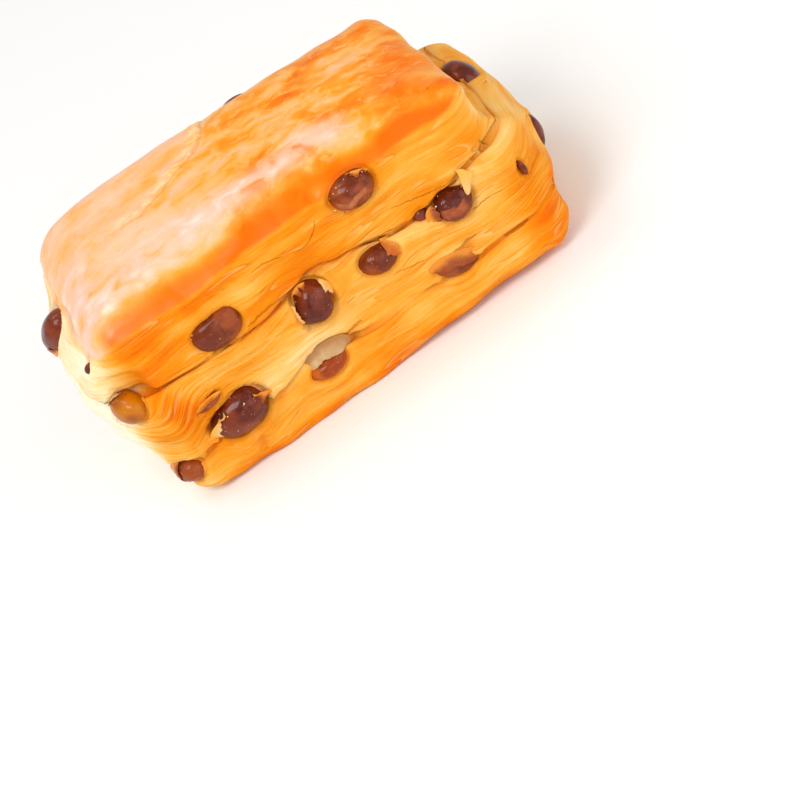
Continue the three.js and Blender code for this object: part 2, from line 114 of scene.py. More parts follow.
# ---------------------------------------------------------------- the beans
# side, along, up, size, turn and sunk are those of the solids. skin: how the bean's own skin looks.
# gap: depth of the narrow gap round the bean. lip: height of the dough's rim. pits: wider hollows beside
# the bean, each as direction in degrees, distance from the bean's skin, width and depth. block: how
# square the bean is, 2 for an ellipsoid. tint: where its colour is not that of its look.
Bean = namedtuple(
    "Bean",
    "side along up size turn sunk look skin gap lip pits block tint",
    defaults=(0.5, 0.35, (), 2.0, None),
)
BEANS = [
    Bean("front", 14.3, 39.9, (10, 7.4, 7), 3, 1.2, "brown", "split", block=2.2),
    Bean("front", 28.3, 24.3, (8.4, 7.4, 6.6), -4, 0.8, "dark", "torn",
         pits=[(110, 0.4, 1.4, 0.7), (180, 0.6, 1.0, 0.7)]),
    Bean("front", 22.6, 26, (3.2, 2.8, 2.6), 20, 0.3, "dark", "wrinkled"),
    Bean("front", 11.4, 22.9, (9.4, 6.6, 6.4), 4, 1.4, "brown", "wrinkled"),
    Bean("front", -4.3, 23.4, (9.6, 8.2, 8.4), 62, 0.9, "dark", "smooth", block=2.15, gap=0.9, lip=0.8,
         pits=[(75, 0.2, 1.3, 1.2), (165, 0.2, 1.1, 0.8)]),
    Bean("front", -22.3, 32, (11.2, 8, 7), 6, 1.2, "brown", "smooth", block=2.7),
    Bean("front", -28.8, 12, (13, 11, 9.2), 14, 1.5, "dark", "smooth", block=2.4, gap=0.9, lip=0.7,
         pits=[(-100, 0.5, 1.6, 1.3), (150, 0.6, 1.4, 1.0)]),
    Bean("front", 22.6, 11.6, (9.6, 4.6, 5.4), -18, 1.3, "brown", "smooth",
         pits=[(180, 0.2, 1.2, 0.8), (60, 2.0, 1.4, 0.8)]),
    Bean("front", -8.9, 10, (9, 4.4, 5), 3, 1.2, "brown", "smooth", tint="clear",
         pits=[(112, 1.4, 1.5, 1.3), (84, 1.5, 1.7, 1.5), (60, 1.6, 1.6, 1.6), (36, 1.8, 1.4, 1.8),
               (12, 3.2, 1, 1.5)]),
    Bean("front", -32.6, 19.8, (6, 1.7, 3.4), 8, 0.5, "brown", "smooth"),
    Bean("front", -43.5, 7.8, (6.8, 5.6, 5.6), -12, 1.2, "brown", "wrinkled"),
    Bean("front", 41.8, 21.4, (4, 1.1, 2.4), -88, 0.3, "dark", "smooth"),
    Bean("left", -22, 26.8, (9.2, 6.8, 6.4), -10, 1, "amber", "smooth", gap=0.7, lip=0.5),
    Bean("left", 6.4, 34.4, (12.4, 8.4, 8), 58, 1.2, "dark", "smooth"),
    Bean("left", -18, 36.8, (3.4, 1.2, 2.4), 70, 0.3, "dark", "smooth"),
    Bean("left", 6, 21.5, (9, 6.8, 6.4), 30, 2.4, "dark", "wrinkled"),
    Bean("left", -6.2, 9.4, (8, 5.4, 5.6), -15, 1, "brown", "smooth"),
    Bean("left", 16.5, 17.5, (9.4, 6.6, 6.4), 75, 1.2, "brown", "split"),
    Bean("right", 3, 31, (10.4, 8, 7.4), 12, 2.4, "dark", "smooth"),
    Bean("right", -9.3, 16.8, (9.4, 6, 6.4), 76, 1.9, "dark", "smooth"),
    Bean("right", 15, 12.5, (9, 6.4, 5.8), -24, 1.8, "brown", "wrinkled"),
    Bean("back", 6.2, 41.8, (8.6, 5.6, 6.2), 2, 1.7, "dark", "smooth"),
    Bean("back", -35.5, 35, (10.2, 7, 6.8), 14, 1.2, "dark", "smooth"),
    Bean("back", -20, 21, (10.6, 7.8, 7.2), -20, 1.5, "brown", "split", pits=[(70, 0.4, 1.5, 1.0)]),
    Bean("back", -11, 36, (8.4, 6.8, 6.2), 50, 1, "dark", "wrinkled"),
    Bean("back", 1.5, 12.2, (11, 8, 7.4), 5, 1.6, "dark", "smooth", gap=0.9, lip=0.7,
         pits=[(-80, 0.4, 1.5, 1.1)]),
    Bean("back", 14.5, 26.6, (9.4, 6.2, 6), -10, 1.1, "amber", "smooth"),
    Bean("back", 27.5, 17.5, (9.8, 7.2, 7), 32, 1.3, "brown", "torn"),
    Bean("back", 36.5, 34.5, (8.8, 7, 6.6), -8, 1, "dark", "smooth"),
    Bean("back", -34, 9, (7.2, 4.6, 5), 12, 1, "brown", "smooth"),
]
BEAN_BEND = 0.12


# ---------------------------------------------------------------- helpers
def ease(t):
    """Smooth step from 0 to 1."""
    s = np.clip(t, 0.0, 1.0)
    return s * s * (3.0 - 2.0 * s)


def mix(a, b, t):
    return a + (b - a) * t


def bump(distance, width):
    """1 at no distance, falling smoothly to nothing."""
    return np.exp(-((distance / width) ** 2))


def through(place, knots):
    """The value of a smooth curve through (place, value) knots."""
    place = np.asarray(place, float)
    places = np.array([k[0] for k in knots], float)
    values = np.array([k[1] for k in knots], float)
    i = np.clip(np.searchsorted(places, place, side="right") - 1, 0, len(knots) - 2)
    t = (place - places[i]) / (places[i + 1] - places[i])
    return mix(values[i], values[i + 1], ease(t))


def lattice(i, j, k, seed):
    """A steady random number from -1 to 1 at each point of a lattice."""
    h = (i * 374761393 + j * 668265263 + k * 1442695041 + seed * 1013904223) & 0xFFFFFFFF
    h = ((h ^ (h >> 13)) * 1274126177) & 0xFFFFFFFF
    h = h ^ (h >> 16)
    return h / 0x7FFFFFFF - 1.0


def noise(x, y, z, seed=0):
    """Smooth noise from -1 to 1 in three directions."""
    x, y, z = np.broadcast_arrays(x, y, z)
    cells = [np.floor(a).astype(np.int64) for a in (x, y, z)]
    u, v, w = (ease(a - c) for a, c in zip((x, y, z), cells))
    total = 0.0
    for dx in (0, 1):
        for dy in (0, 1):
            for dz in (0, 1):
                weight = (u if dx else 1 - u) * (v if dy else 1 - v) * (w if dz else 1 - w)
                total = total + weight * lattice(cells[0] + dx, cells[1] + dy, cells[2] + dz, seed)
    return total


def grid_normals(grid, closed):
    """Unit normals of a grid of points whose columns may close on themselves."""
    if closed:
        across = np.roll(grid, -1, axis=1) - np.roll(grid, 1, axis=1)
    else:
        across = np.gradient(grid, axis=1)
    up = np.gradient(grid, axis=0)
    normals = np.cross(across, up)
    return normals / np.maximum(np.linalg.norm(normals, axis=-1, keepdims=True), 1e-9)


def quads_of(index, closed=False):
    """The quads between neighbouring points, from a grid of their numbers that may close on itself."""
    if closed:
        index = np.hstack([index, index[:, :1]])
    return np.stack([index[:-1, :-1], index[:-1, 1:], index[1:, 1:], index[1:, :-1]], axis=-1)


# ---------------------------------------------------------------- plan outline
def plan_outline(front_steps, end_steps):
    """Points (x, y) and normals (nx, ny) of the rounded plan outline, from the front left corner round."""
    inner = (HALF_LENGTH - CORNER_RADIUS, HALF_DEPTH - CORNER_RADIUS)
    half_corner = CORNER_RADIUS * math.pi / 4
    corners = [(-1, -1), (1, -1), (1, 1), (-1, 1)]
    rows = []
    for side, sign in enumerate(corners):
        steps = front_steps if side % 2 == 0 else end_steps
        straight = 2 * inner[side % 2]
        facing = (side * 0.5 - 0.5) * math.pi
        run = np.array([math.cos(facing + math.pi / 2), math.sin(facing + math.pi / 2)])
        start = np.array(sign) * inner
        length = (straight + 2 * half_corner) * np.arange(steps) / steps
        along = np.clip(length - half_corner, 0, straight)
        turned = (length - half_corner - along) / CORNER_RADIUS
        normal = np.stack([np.cos(facing + turned), np.sin(facing + turned)], axis=1)
        point = start + run * along[:, None] + CORNER_RADIUS * normal
        rows.append(np.hstack([point, normal]))
    return np.vstack(rows).T


def facings(at):
    """How far the outline faces the front, back, left and right: shares that add up to 1."""
    _, _, nx, ny = at
    return [np.clip(part, 0, 1) ** 2 for part in (-ny, ny, -nx, nx)]


def by_side(at, *values):
    """Mixes the values for the front, back, left and right by how far the outline faces each."""
    return sum(share * value for share, value in zip(facings(at), values))


# ---------------------------------------------------------------- form of the sides, as in the solids
def creases(at):
    """Heights of the lower and upper crease at places of the outline."""
    x, y, _, _ = at
    lower = by_side(
        at,
        through(x, LOWER_CREASE_FRONT),
        11 + 1.2 * np.sin(x * 0.16 + 0.8),
        through(y, LOWER_CREASE_LEFT),
        through(y, LOWER_CREASE_RIGHT),
    )
    upper = by_side(
        at,
        through(x, UPPER_CREASE_FRONT),
        28.6 + 1.3 * np.sin(x * 0.13 + 2),
        through(y, UPPER_CREASE_LEFT),
        through(y, UPPER_CREASE_RIGHT),
    )
    return lower, upper


def plump(t, power):
    """0 in a crease, 1 at the middle of a fold; a low power makes the fold's face broad."""
    return np.sqrt(np.clip(1 - (2 * t - 1) ** 2, 0, 1)) ** power


def side_offset(at, height):
    """How far the side at a height stands out along the outline's normal."""
    x, _, nx, ny = at
    lower, upper = creases(at)
    corner = ease(np.abs(2 * nx * ny))
    hollow = 2.3 * bump(x - 4, 15)
    foot_face = by_side(at, 0.5, 0.4 + 0.4 * np.sin(x * 0.12 + 1), 0, 0) + 1.2 * corner
    middle_face = by_side(at, 0.8 - hollow, 0.5 * np.sin(x * 0.1 + 2), 0, 0)
    lid_face = by_side(at, 0.3, 0.2 + 0.4 * np.sin(x * 0.09), 0, 0)
    lower_cut = by_side(at, through(x, LOWER_DEPTH_FRONT), 1.8 + 0.8 * np.sin(x * 0.17), 0.8, 0.8)
    upper_cut = by_side(at, through(x, UPPER_DEPTH_FRONT), 2.2 + 0.9 * np.sin(x * 0.13 + 1), 0.7, 0.7)

    t = np.clip(height / lower, 0, 1)
    foot = foot_face - np.where(t < 0.5, FOOT_TUCK, lower_cut) * (1 - plump(t, 0.6))
    t = np.clip((height - lower) / (upper - lower), 0, 1)
    cut = np.where(t < 0.5, lower_cut + middle_face - foot_face, upper_cut)
    middle = middle_face - cut * (1 - plump(t, 0.55))
    t = np.clip((height - upper) / (SHOULDER_HEIGHT - upper), 0, 1)
    cut = upper_cut + lid_face - middle_face
    drawn_in = corner * np.where(nx < 0, 4.0, 1.5) * (1 - t) ** 1.4
    lid = lid_face - cut * (1 - plump(t / 2, 0.5)) - drawn_in
    return np.where(height <= lower, foot, np.where(height <= upper, middle, lid))


def end_swell(at, height):
    """How far an end swells outwards along X at a height."""
    _, y, nx, _ = at
    reach = np.where(nx < 0, swell_at(LEFT_SWELL, y, height), swell_at(RIGHT_SWELL, y, height))
    return np.sign(nx) * np.abs(nx) ** 1.5 * reach


def swell_at(swell, y, height):
    """How far one end's swell reaches at a place across the loaf and a height."""
    t = (height - swell["middle"]) / np.where(height < swell["middle"], swell["below"], swell["above"])
    across = np.clip(1 - ((y - swell["back"]) / (HALF_DEPTH + swell["back"])) ** 2, 0, 1) ** 0.8
    return swell["reach"] * np.clip(1 - t * t, 0, 1) ** 1.2 * across


def end_stretch(at, height):
    """How far a fold's end is stretched or drawn in along X; the folds blend over their creases."""
    x, y, _, _ = at
    lower, upper = creases(at)
    ends = [(LEFT_END[fold], RIGHT_END[fold]) for fold in ("foot", "middle", "lid")]
    foot, middle, lid = (np.where(x < 0, left, right) for left, right in ends)
    taper = np.where(x < 0, 0, LID_TAPER * y / HALF_DEPTH)
    to_middle = ease((height - lower) / 3 + 0.5)
    to_lid = ease((height - upper) / 5 + 0.5)
    stretch = mix(mix(foot, middle, to_middle), lid - taper, to_lid)
    return np.sign(x) * stretch * ease((np.abs(x) - END_STRETCH_FROM) / (HALF_LENGTH - END_STRETCH_FROM))


def ripple(x, y, z):
    return 0.22 * np.sin(0.31 * x + 0.5 * z + 0.4 * y) + 0.16 * np.sin(0.55 * x - 0.37 * z - 0.3 * y + 1.3)


def side_point(at, height):
    """Points (x, y, z) of the side at a height, before the foot's lift."""
    x, y, nx, ny = at
    offset = side_offset(at, height) + ripple(x, y, height)
    shift = end_swell(at, height) + end_stretch(at, height)
    return np.stack(np.broadcast_arrays(x + nx * offset + shift, y + ny * offset, height), axis=-1)


def top_height(x, y):
    """Height of the lid's top over a place of the plan."""
    u = np.clip(x / HALF_LENGTH, -1, 1)
    v = np.clip(y / HALF_DEPTH, -1, 1)
    beyond_x = np.abs(x) - (HALF_LENGTH - CORNER_RADIUS)
    beyond_y = np.abs(y) - (HALF_DEPTH - CORNER_RADIUS)
    outside = np.hypot(np.maximum(beyond_x, 0), np.maximum(beyond_y, 0))
    inside = CORNER_RADIUS - outside - np.minimum(np.maximum(beyond_x, beyond_y), 0)
    reach = np.clip(1 - inside / through(x, SHOULDER_RUN), 0, 1)
    shoulder = SHOULDER_HEIGHT + SHOULDER_RISE * np.sqrt(1 - reach * reach)
    dome = CROWN * (1 - u**4) * (1 - v**2)
    tilt = through(x, TOP_TILT) * (0.55 + 0.45 * v) * (1 - v**6) * (1 - u**6)
    return shoulder + dome + tilt


# ---------------------------------------------------------------- beans' places
def outline_at(bean):
    """The outline's place for a bean, on its side of the loaf or round that side's corner."""
    at_end = bean.side in ("left", "right")
    away = -1 if bean.side in ("front", "left") else 1
    straight = (HALF_DEPTH if at_end else HALF_LENGTH) - CORNER_RADIUS
    depth = (HALF_LENGTH if at_end else HALF_DEPTH) - CORNER_RADIUS
    round_by = min(max((abs(bean.along) - straight) / CORNER_RADIUS, 0), 1)
    sideways = math.copysign(round_by, bean.along)
    outward = away * math.sqrt(1 - round_by * round_by)
    out = away * depth + CORNER_RADIUS * outward
    if at_end:
        return np.array([out, bean.along, outward, sideways])
    return np.array([bean.along, out, sideways, outward])


def bean_axes(bean):
    """Middle of a bean and its three axes: lengthwise, widthwise and out of the loaf."""
    at = outline_at(bean)
    step = 0.6
    here, low, high = (side_point(at, np.array(bean.up + d)) for d in (0, -step, step))
    slope = np.clip(((high - low)[0] * at[2] + (high - low)[1] * at[3]) / (2 * step), -0.8, 0.8)
    out = np.array([at[2], at[3], -slope])
    out /= np.linalg.norm(out)
    level = np.array([-at[3], at[2], 0.0])
    upward = np.cross(out, level)
    angle = math.radians(bean.turn)
    lengthwise = level * math.cos(angle) + upward * math.sin(angle)
    widthwise = np.cross(out, lengthwise)
    return here - out * bean.sunk, lengthwise, widthwise, out


# ---------------------------------------------------------------- the loaf's surface
def loaf_heights(at):
    """The heights of the rows up the side: closest at the creases."""
    lower, upper = creases(at)

    def rounded(count):
        return 0.5 - 0.5 * np.cos(math.pi * np.arange(count + 1)[:, None] / count)

    foot = lower * rounded(FOOT_ROWS)
    middle = mix(lower, upper, rounded(MIDDLE_ROWS))[1:]
    t = 1 - np.cos(0.5 * math.pi * np.arange(1, LID_ROWS + 1)[:, None] / LID_ROWS)
    return np.vstack([foot, middle, mix(upper, SHOULDER_HEIGHT, t)])


def loaf_rings(at):
    """The rings of points from the foot's edge up over the shoulder, and each point's place in the plan."""
    x, y, nx, ny = at
    heights = loaf_heights(at)
    sides = side_point(at, heights)
    sides[..., 2] += through(x, FOOT_LIFT) * ease(1 - heights / LIFT_HEIGHT)
    t = np.arange(1, SHOULDER_ROWS + 1)[:, None] / SHOULDER_ROWS
    inward = SHOULDER_RING * t**1.8
    edge = side_point(at, np.full_like(x, SHOULDER_HEIGHT))
    plan_x, plan_y = x - nx * inward, y - ny * inward
    ring_x, ring_y = edge[:, 0] - nx * inward, edge[:, 1] - ny * inward
    # the outer edge keeps the plan outline's own height, and the ring inside follows the top
    shoulder_z = top_height(mix(plan_x, ring_x, t), mix(plan_y, ring_y, t))
    return np.concatenate([sides, np.stack([ring_x, ring_y, shoulder_z], axis=-1)])


def grid_inside(ring, front_steps, end_steps):
    """A grid of points inside a closed ring, blended from its four sides."""
    front = ring[: front_steps + 1]
    right = ring[front_steps : front_steps + end_steps + 1]
    back = ring[front_steps + end_steps : 2 * front_steps + end_steps + 1][::-1]
    left = np.concatenate([ring[2 * front_steps + end_steps :], ring[:1]])[::-1]
    u = np.linspace(0, 1, front_steps + 1)[None, :, None]
    v = np.linspace(0, 1, end_steps + 1)[:, None, None]
    near = (1 - u) * front[0] + u * front[-1]
    far = (1 - u) * back[0] + u * back[-1]
    across = (1 - v) * front[None] + v * back[None] + (1 - u) * left[:, None] + u * right[:, None]
    return across - (1 - v) * near - v * far


# the crease over the top, from the back edge down to the left, as places (x, y)
TOP_CREASE = [(-1.2, 24), (-4, 10), (-7, 6.2), (-14.3, 2), (-22, -2.6), (-31, -1.4)]


def from_top_crease(x, y):
    """Distance from the crease over the top, which side of it, and how far along it."""
    best = np.full(np.shape(x), 1e9)
    side = np.zeros(np.shape(x))
    along = np.zeros(np.shape(x))
    for i in range(len(TOP_CREASE) - 1):
        (ax, ay), (bx, by) = TOP_CREASE[i], TOP_CREASE[i + 1]
        dx, dy = bx - ax, by - ay
        t = np.clip(((x - ax) * dx + (y - ay) * dy) / (dx * dx + dy * dy), 0, 1)
        away = np.hypot(x - ax - t * dx, y - ay - t * dy)
        turn = np.sign(dx * (y - ay) - dy * (x - ax))
        closer = away < best
        best = np.where(closer, away, best)
        side = np.where(closer, turn, side)
        along = np.where(closer, (i + t) / (len(TOP_CREASE) - 1), along)
    return best, side, along


def crust_relief(x, y):
    """Height of the crust's own swells, its crease and the wrinkles beside it."""
    swells = 0.34 * noise(x * 0.075, y * 0.1, 0, 11) + 0.16 * noise(x * 0.17, y * 0.22, 0, 12) - 0.15
    away, side, along = from_top_crease(x, y)
    strength = ease(1.15 - along) * (0.7 + 0.5 * noise(x * 0.3, y * 0.3, 0, 13))
    groove = -0.55 * bump(away, 0.8) * strength
    step = -0.3 * side * bump(away - 1.2, 2.5) * strength
    wrinkles = 0.16 * np.sin(away * 2.6 + 2.5 * noise(x * 0.16, y * 0.16, 0, 14)) * bump(away, 5) * strength
    return swells + groove + step + wrinkles


# ---------------------------------------------------------------- dough round the beans
def bean_local(points, bean):
    """Places of points in a bean's own axes, in mm: lengthwise, widthwise and out."""
    centre, lengthwise, widthwise, out = bean_axes(bean)
    rel = points - centre
    return rel @ lengthwise, rel @ widthwise, rel @ out


GATHER = 0.32  # share of a bean's half size within which mesh points are drawn to its outline


def press_in_bean(points, marks, bean, seed):
    """Draws the dough close round one bean: a narrow gap, a raised rim and any wider pits beside it, and
    tints the gap and the pits darker, partly as syrup stain and partly as painted shade.
    """
    half_l, half_w, half_t = (s / 2 for s in bean.size)
    centre, lengthwise, widthwise, out = bean_axes(bean)
    a, b, c = bean_local(points, bean)
    near = (np.hypot(a / (half_l + 5), b / (half_w + 5)) < 1) & (np.abs(c) < half_t + 3)
    a, b, c = a[near], b[near], c[near]
    straight = b + half_w * BEAN_BEND * (0.5 - (a / half_l) ** 2)
    section = np.sqrt(1 - np.clip(c / half_t, -0.9, 0.9) ** 2)
    rho = np.maximum(np.hypot(a / (half_l * section), straight / (half_w * section)), 1e-3)
    g = (rho - 1) / GATHER
    drawn = np.where(np.abs(g) < 1, 1 + GATHER * g * (0.4 + 0.6 * g * g), rho)
    a, b = a * drawn / rho, b * drawn / rho
    away = np.hypot(a, b) * (1 - 1 / np.maximum(drawn, 0.1))
    angle = np.arctan2(b, a)
    uneven = noise(np.cos(angle) * 1.6, np.sin(angle) * 1.6, 0, seed)

    gap = bean.gap * (0.75 + 0.6 * uneven) * bump(away - 0.1, 0.45)
    rim = bean.lip * (0.9 - 0.5 * uneven) * bump(away - 1.2, 0.7)
    c = c - gap + rim - 0.7 * ease(-away / 0.8)
    # the gap and the pits are tinted darker: partly syrup stain, partly painted shade
    syrup_stain_and_shade = (0.45 + 0.4 * uneven) * ease((0.7 - away) / 0.6)
    for direction, distance, width, depth in bean.pits:
        turn = math.radians(direction)
        pit_a = math.cos(turn) * (half_l + distance)
        pit_b = math.sin(turn) * (half_w + distance)
        from_pit = np.hypot(a - pit_a, b - pit_b)
        c = c - depth * bump(from_pit, width)
        syrup_stain_and_shade = np.maximum(syrup_stain_and_shade, 0.7 * bump(from_pit, width * 0.7))

    points[near] = centre + a[:, None] * lengthwise + b[:, None] * widthwise + c[:, None] * out
    marks["hollow"][near] = np.maximum(marks["hollow"][near], syrup_stain_and_shade)


def grain_height(points, heights):
    """Height along the layers: a point's height, wandering a little and bent to run round each bean."""
    x, y = points[..., 0], points[..., 1]
    bent = heights + 1.3 * noise(x * 0.05, y * 0.05, heights * 0.05, 35)
    for bean in BEANS:
        a, b, c = bean_local(points, bean)
        angle = math.radians(bean.turn)
        level = a * math.cos(angle) - b * math.sin(angle)
        up = a * math.sin(angle) + b * math.cos(angle)
        radius = 0.36 * (bean.size[0] + bean.size[1]) / 2 + 0.6
        r = np.hypot(level / (radius * 1.3), up / radius)
        close = np.exp(-np.clip(r - 1, 0, None) / 0.8) * (np.abs(c) < 9)
        bent = bent - 0.8 * up * close / np.maximum(r, 1) ** 2
    return bent


# ---------------------------------------------------------------- marks that the material reads
# how brown each fold is on each side, from 0 (cream) to 1 (deep orange): foot, middle, lid
FOLD_BROWN = {
    "front": (0.6, 0.54, 0.74),
    "back": (0.62, 0.54, 0.74),
    "left": (-0.12, -0.14, 0.12),
    "right": (0.5, 0.5, 0.56),
}
# browner and paler places on each side: (along, up, reach along, reach up, amount)
BROWNED = {
    "front": [
        (-42, 36, 7, 8, 0.1), (-41, 24, 6, 5, 0.42), (-46, 18, 4, 8, 0.3), (-26, 42, 14, 2.6, 0.12),
        (0, 31, 14, 2, 0.12), (30, 38, 12, 6, -0.04), (-2, 34, 8, 2.5, 0.18), (-20, 39.5, 9, 2.5, 0.1),
        (-5, 37.5, 7, 2, -0.08), (34, 20, 6, 4, -0.06), (-37, 18, 7, 8, 0.3), (-20, 24, 8, 4, 0.1),
        (3, 22, 7, 4, 0.16), (5, 27, 5, 2.5, 0.08), (12, 27, 8, 3, -0.1), (-13, 16, 9, 2.6, -0.16),
        (26, 22, 10, 4, -0.06), (43, 20, 5, 7, 0.3), (44, 8, 5, 8, 0.3), (10, 0.5, 60, 2.2, 0.25),
    ],
    "left": [
        (-24, 14, 3.5, 14, 0.7), (0, 43, 30, 3, 0.2), (-8, 3, 20, 3, 0.2), (20, 24, 13, 11, 0.5),
        (24, 7, 12, 7, 0.5), (6, 6, 11, 4, 0.35), (22, 38, 9, 4, 0.2),
    ],
    "right": [
        (-22, 19, 7, 9, 0.4), (-20, 32, 8, 6, -0.08), (-6, 30, 14, 9, 0.03), (-22, 6, 8, 8, 0.3),
        (0, 2, 30, 3, 0.25),
    ],
    "back": [
        (0, 43, 50, 3, 0.14), (0, 0.5, 60, 2.4, 0.25), (-30, 20, 12, 6, -0.14), (22, 24, 10, 5, -0.12),
        (-40, 18, 6, 10, 0.25), (41, 12, 6, 8, 0.25),
    ],
}


def side_marks(points, at, heights):
    """How brown each point of the side is, from 0 (cream) to 1 (deep orange)."""
    px, py = points[..., 0], points[..., 1]
    lower, upper = creases(at)
    facing = dict(zip(("front", "back", "left", "right"), facings(at)))
    in_middle = ease((heights - lower) / 2 + 0.5)
    in_lid = ease((heights - upper) / 2 + 0.5)
    brown = 0.1 * noise(px * 0.07, py * 0.07, heights * 0.2, 21)
    for side, (foot, middle, lid) in FOLD_BROWN.items():
        brown = brown + facing[side] * mix(mix(foot, middle, in_middle), lid, in_lid)
    for side, spots in BROWNED.items():
        place = px if side in ("front", "back") else py
        for along, up, reach_along, reach_up, amount in spots:
            spot = bump(place - along, reach_along) * bump(heights - up, reach_up)
            brown = brown + amount * facing[side] * spot
    return brown


# ---------------------------------------------------------------- the whole loaf
def rim_cells(quads, ring_index):
    """The grid's outermost cells as polygons that take in the ring's points between their corners."""
    between = {}
    for start, middle, end in zip(ring_index[::2], ring_index[1::2], np.roll(ring_index, -2)[::2]):
        between[start, end] = middle
    rows, columns = quads.shape[:2]
    cells = [
        (j, i)
        for j in range(rows)
        for i in range(columns)
        if j in (0, rows - 1) or i in (0, columns - 1)
    ]
    by_length = {}
    for j, i in cells:
        polygon = []
        for k in range(4):
            corner, following = quads[j, i, k], quads[j, i, (k + 1) % 4]
            polygon.append(corner)
            if (corner, following) in between:
                polygon.append(between[corner, following])
        by_length.setdefault(len(polygon), []).append(polygon)
    return [np.array(group) for group in by_length.values()]


def comb_layers(at, px, heights):
    """Where the front's layers are combed: at its left end, at its right end, and over its left half."""
    to_front = ease(-at[3] / 0.6)
    left = bump(px + 40, 9) * bump(heights - 19, 8) * to_front
    right = bump(px - 46, 7) * bump(heights - 19, 6) * to_front
    return left, right, 0.5 * bump(px + 20, 14) * bump(heights - 24, 5) * to_front


def dough_relief(at, px, py, heights, grain, fan):
    """Low relief of the layers along their grain, calmer at the ends and none on the crust."""
    layers = noise(px * 0.055, py * 0.055, grain * 0.55, 31)
    strands = noise(px * 0.11, py * 0.11, grain * 1.15, 32)
    lumps = noise(px * 0.13, py * 0.13, heights * 0.2, 33)
    relief = (LAYER_RELIEF + 0.3 * fan) * layers + (STRAND_RELIEF + 0.2 * fan) * strands
    relief = relief + LUMP_RELIEF * lumps
    on_side = ease((SHOULDER_HEIGHT + 3.5 - heights) / 3)
    calm = 0.25 + 0.75 * by_side(at, 1.0, 1.0, 0.35, 0.6)
    return (relief - 0.25) * on_side * calm


def crease_cut(at, px, py, heights):
    """Depth of the sharp cuts along the two creases."""
    lower, upper = creases(at)
    cut = UPPER_CUT * bump(heights - upper, 0.5) * (0.75 + 0.7 * noise(px * 0.09, py * 0.09, 0, 36))
    cut = cut + LOWER_CUT * bump(heights - lower, 0.4) * (0.6 + 0.8 * noise(px * 0.08, py * 0.08, 0, 37))
    return cut * by_side(at, 1, 1, 0.25, 0.25)


def lid_hang(at, px, py, heights):
    """How far the lid's lower edge hangs over the middle fold."""
    _, upper = creases(at)
    t = np.clip((heights - upper) / (SHOULDER_HEIGHT - upper), 0, 1)
    hang = np.where(heights > upper, np.sin(np.pi * np.clip(t / 0.35, 0, 1)), 0)
    sag = LID_SAG + 0.5 * noise(px * 0.12, py * 0.12, 0, 34)
    return hang * sag * by_side(at, 1, 1, 0.4, 0.3)


def crust_share(at, px, py, heights):
    """1 on the crust, 0 on the layered sides, with an uneven edge between them."""
    edge = by_side(at, *CRUST_EDGE)
    edge = edge + by_side(at, 0.5, 1.4, 0.9, 0.6) * noise(px * 0.12, py * 0.12, 0, 41)
    edge = edge + 0.25 * noise(px * 0.4, py * 0.4, 0, 42)
    return ease((heights - edge) / 1.2 + 0.5)


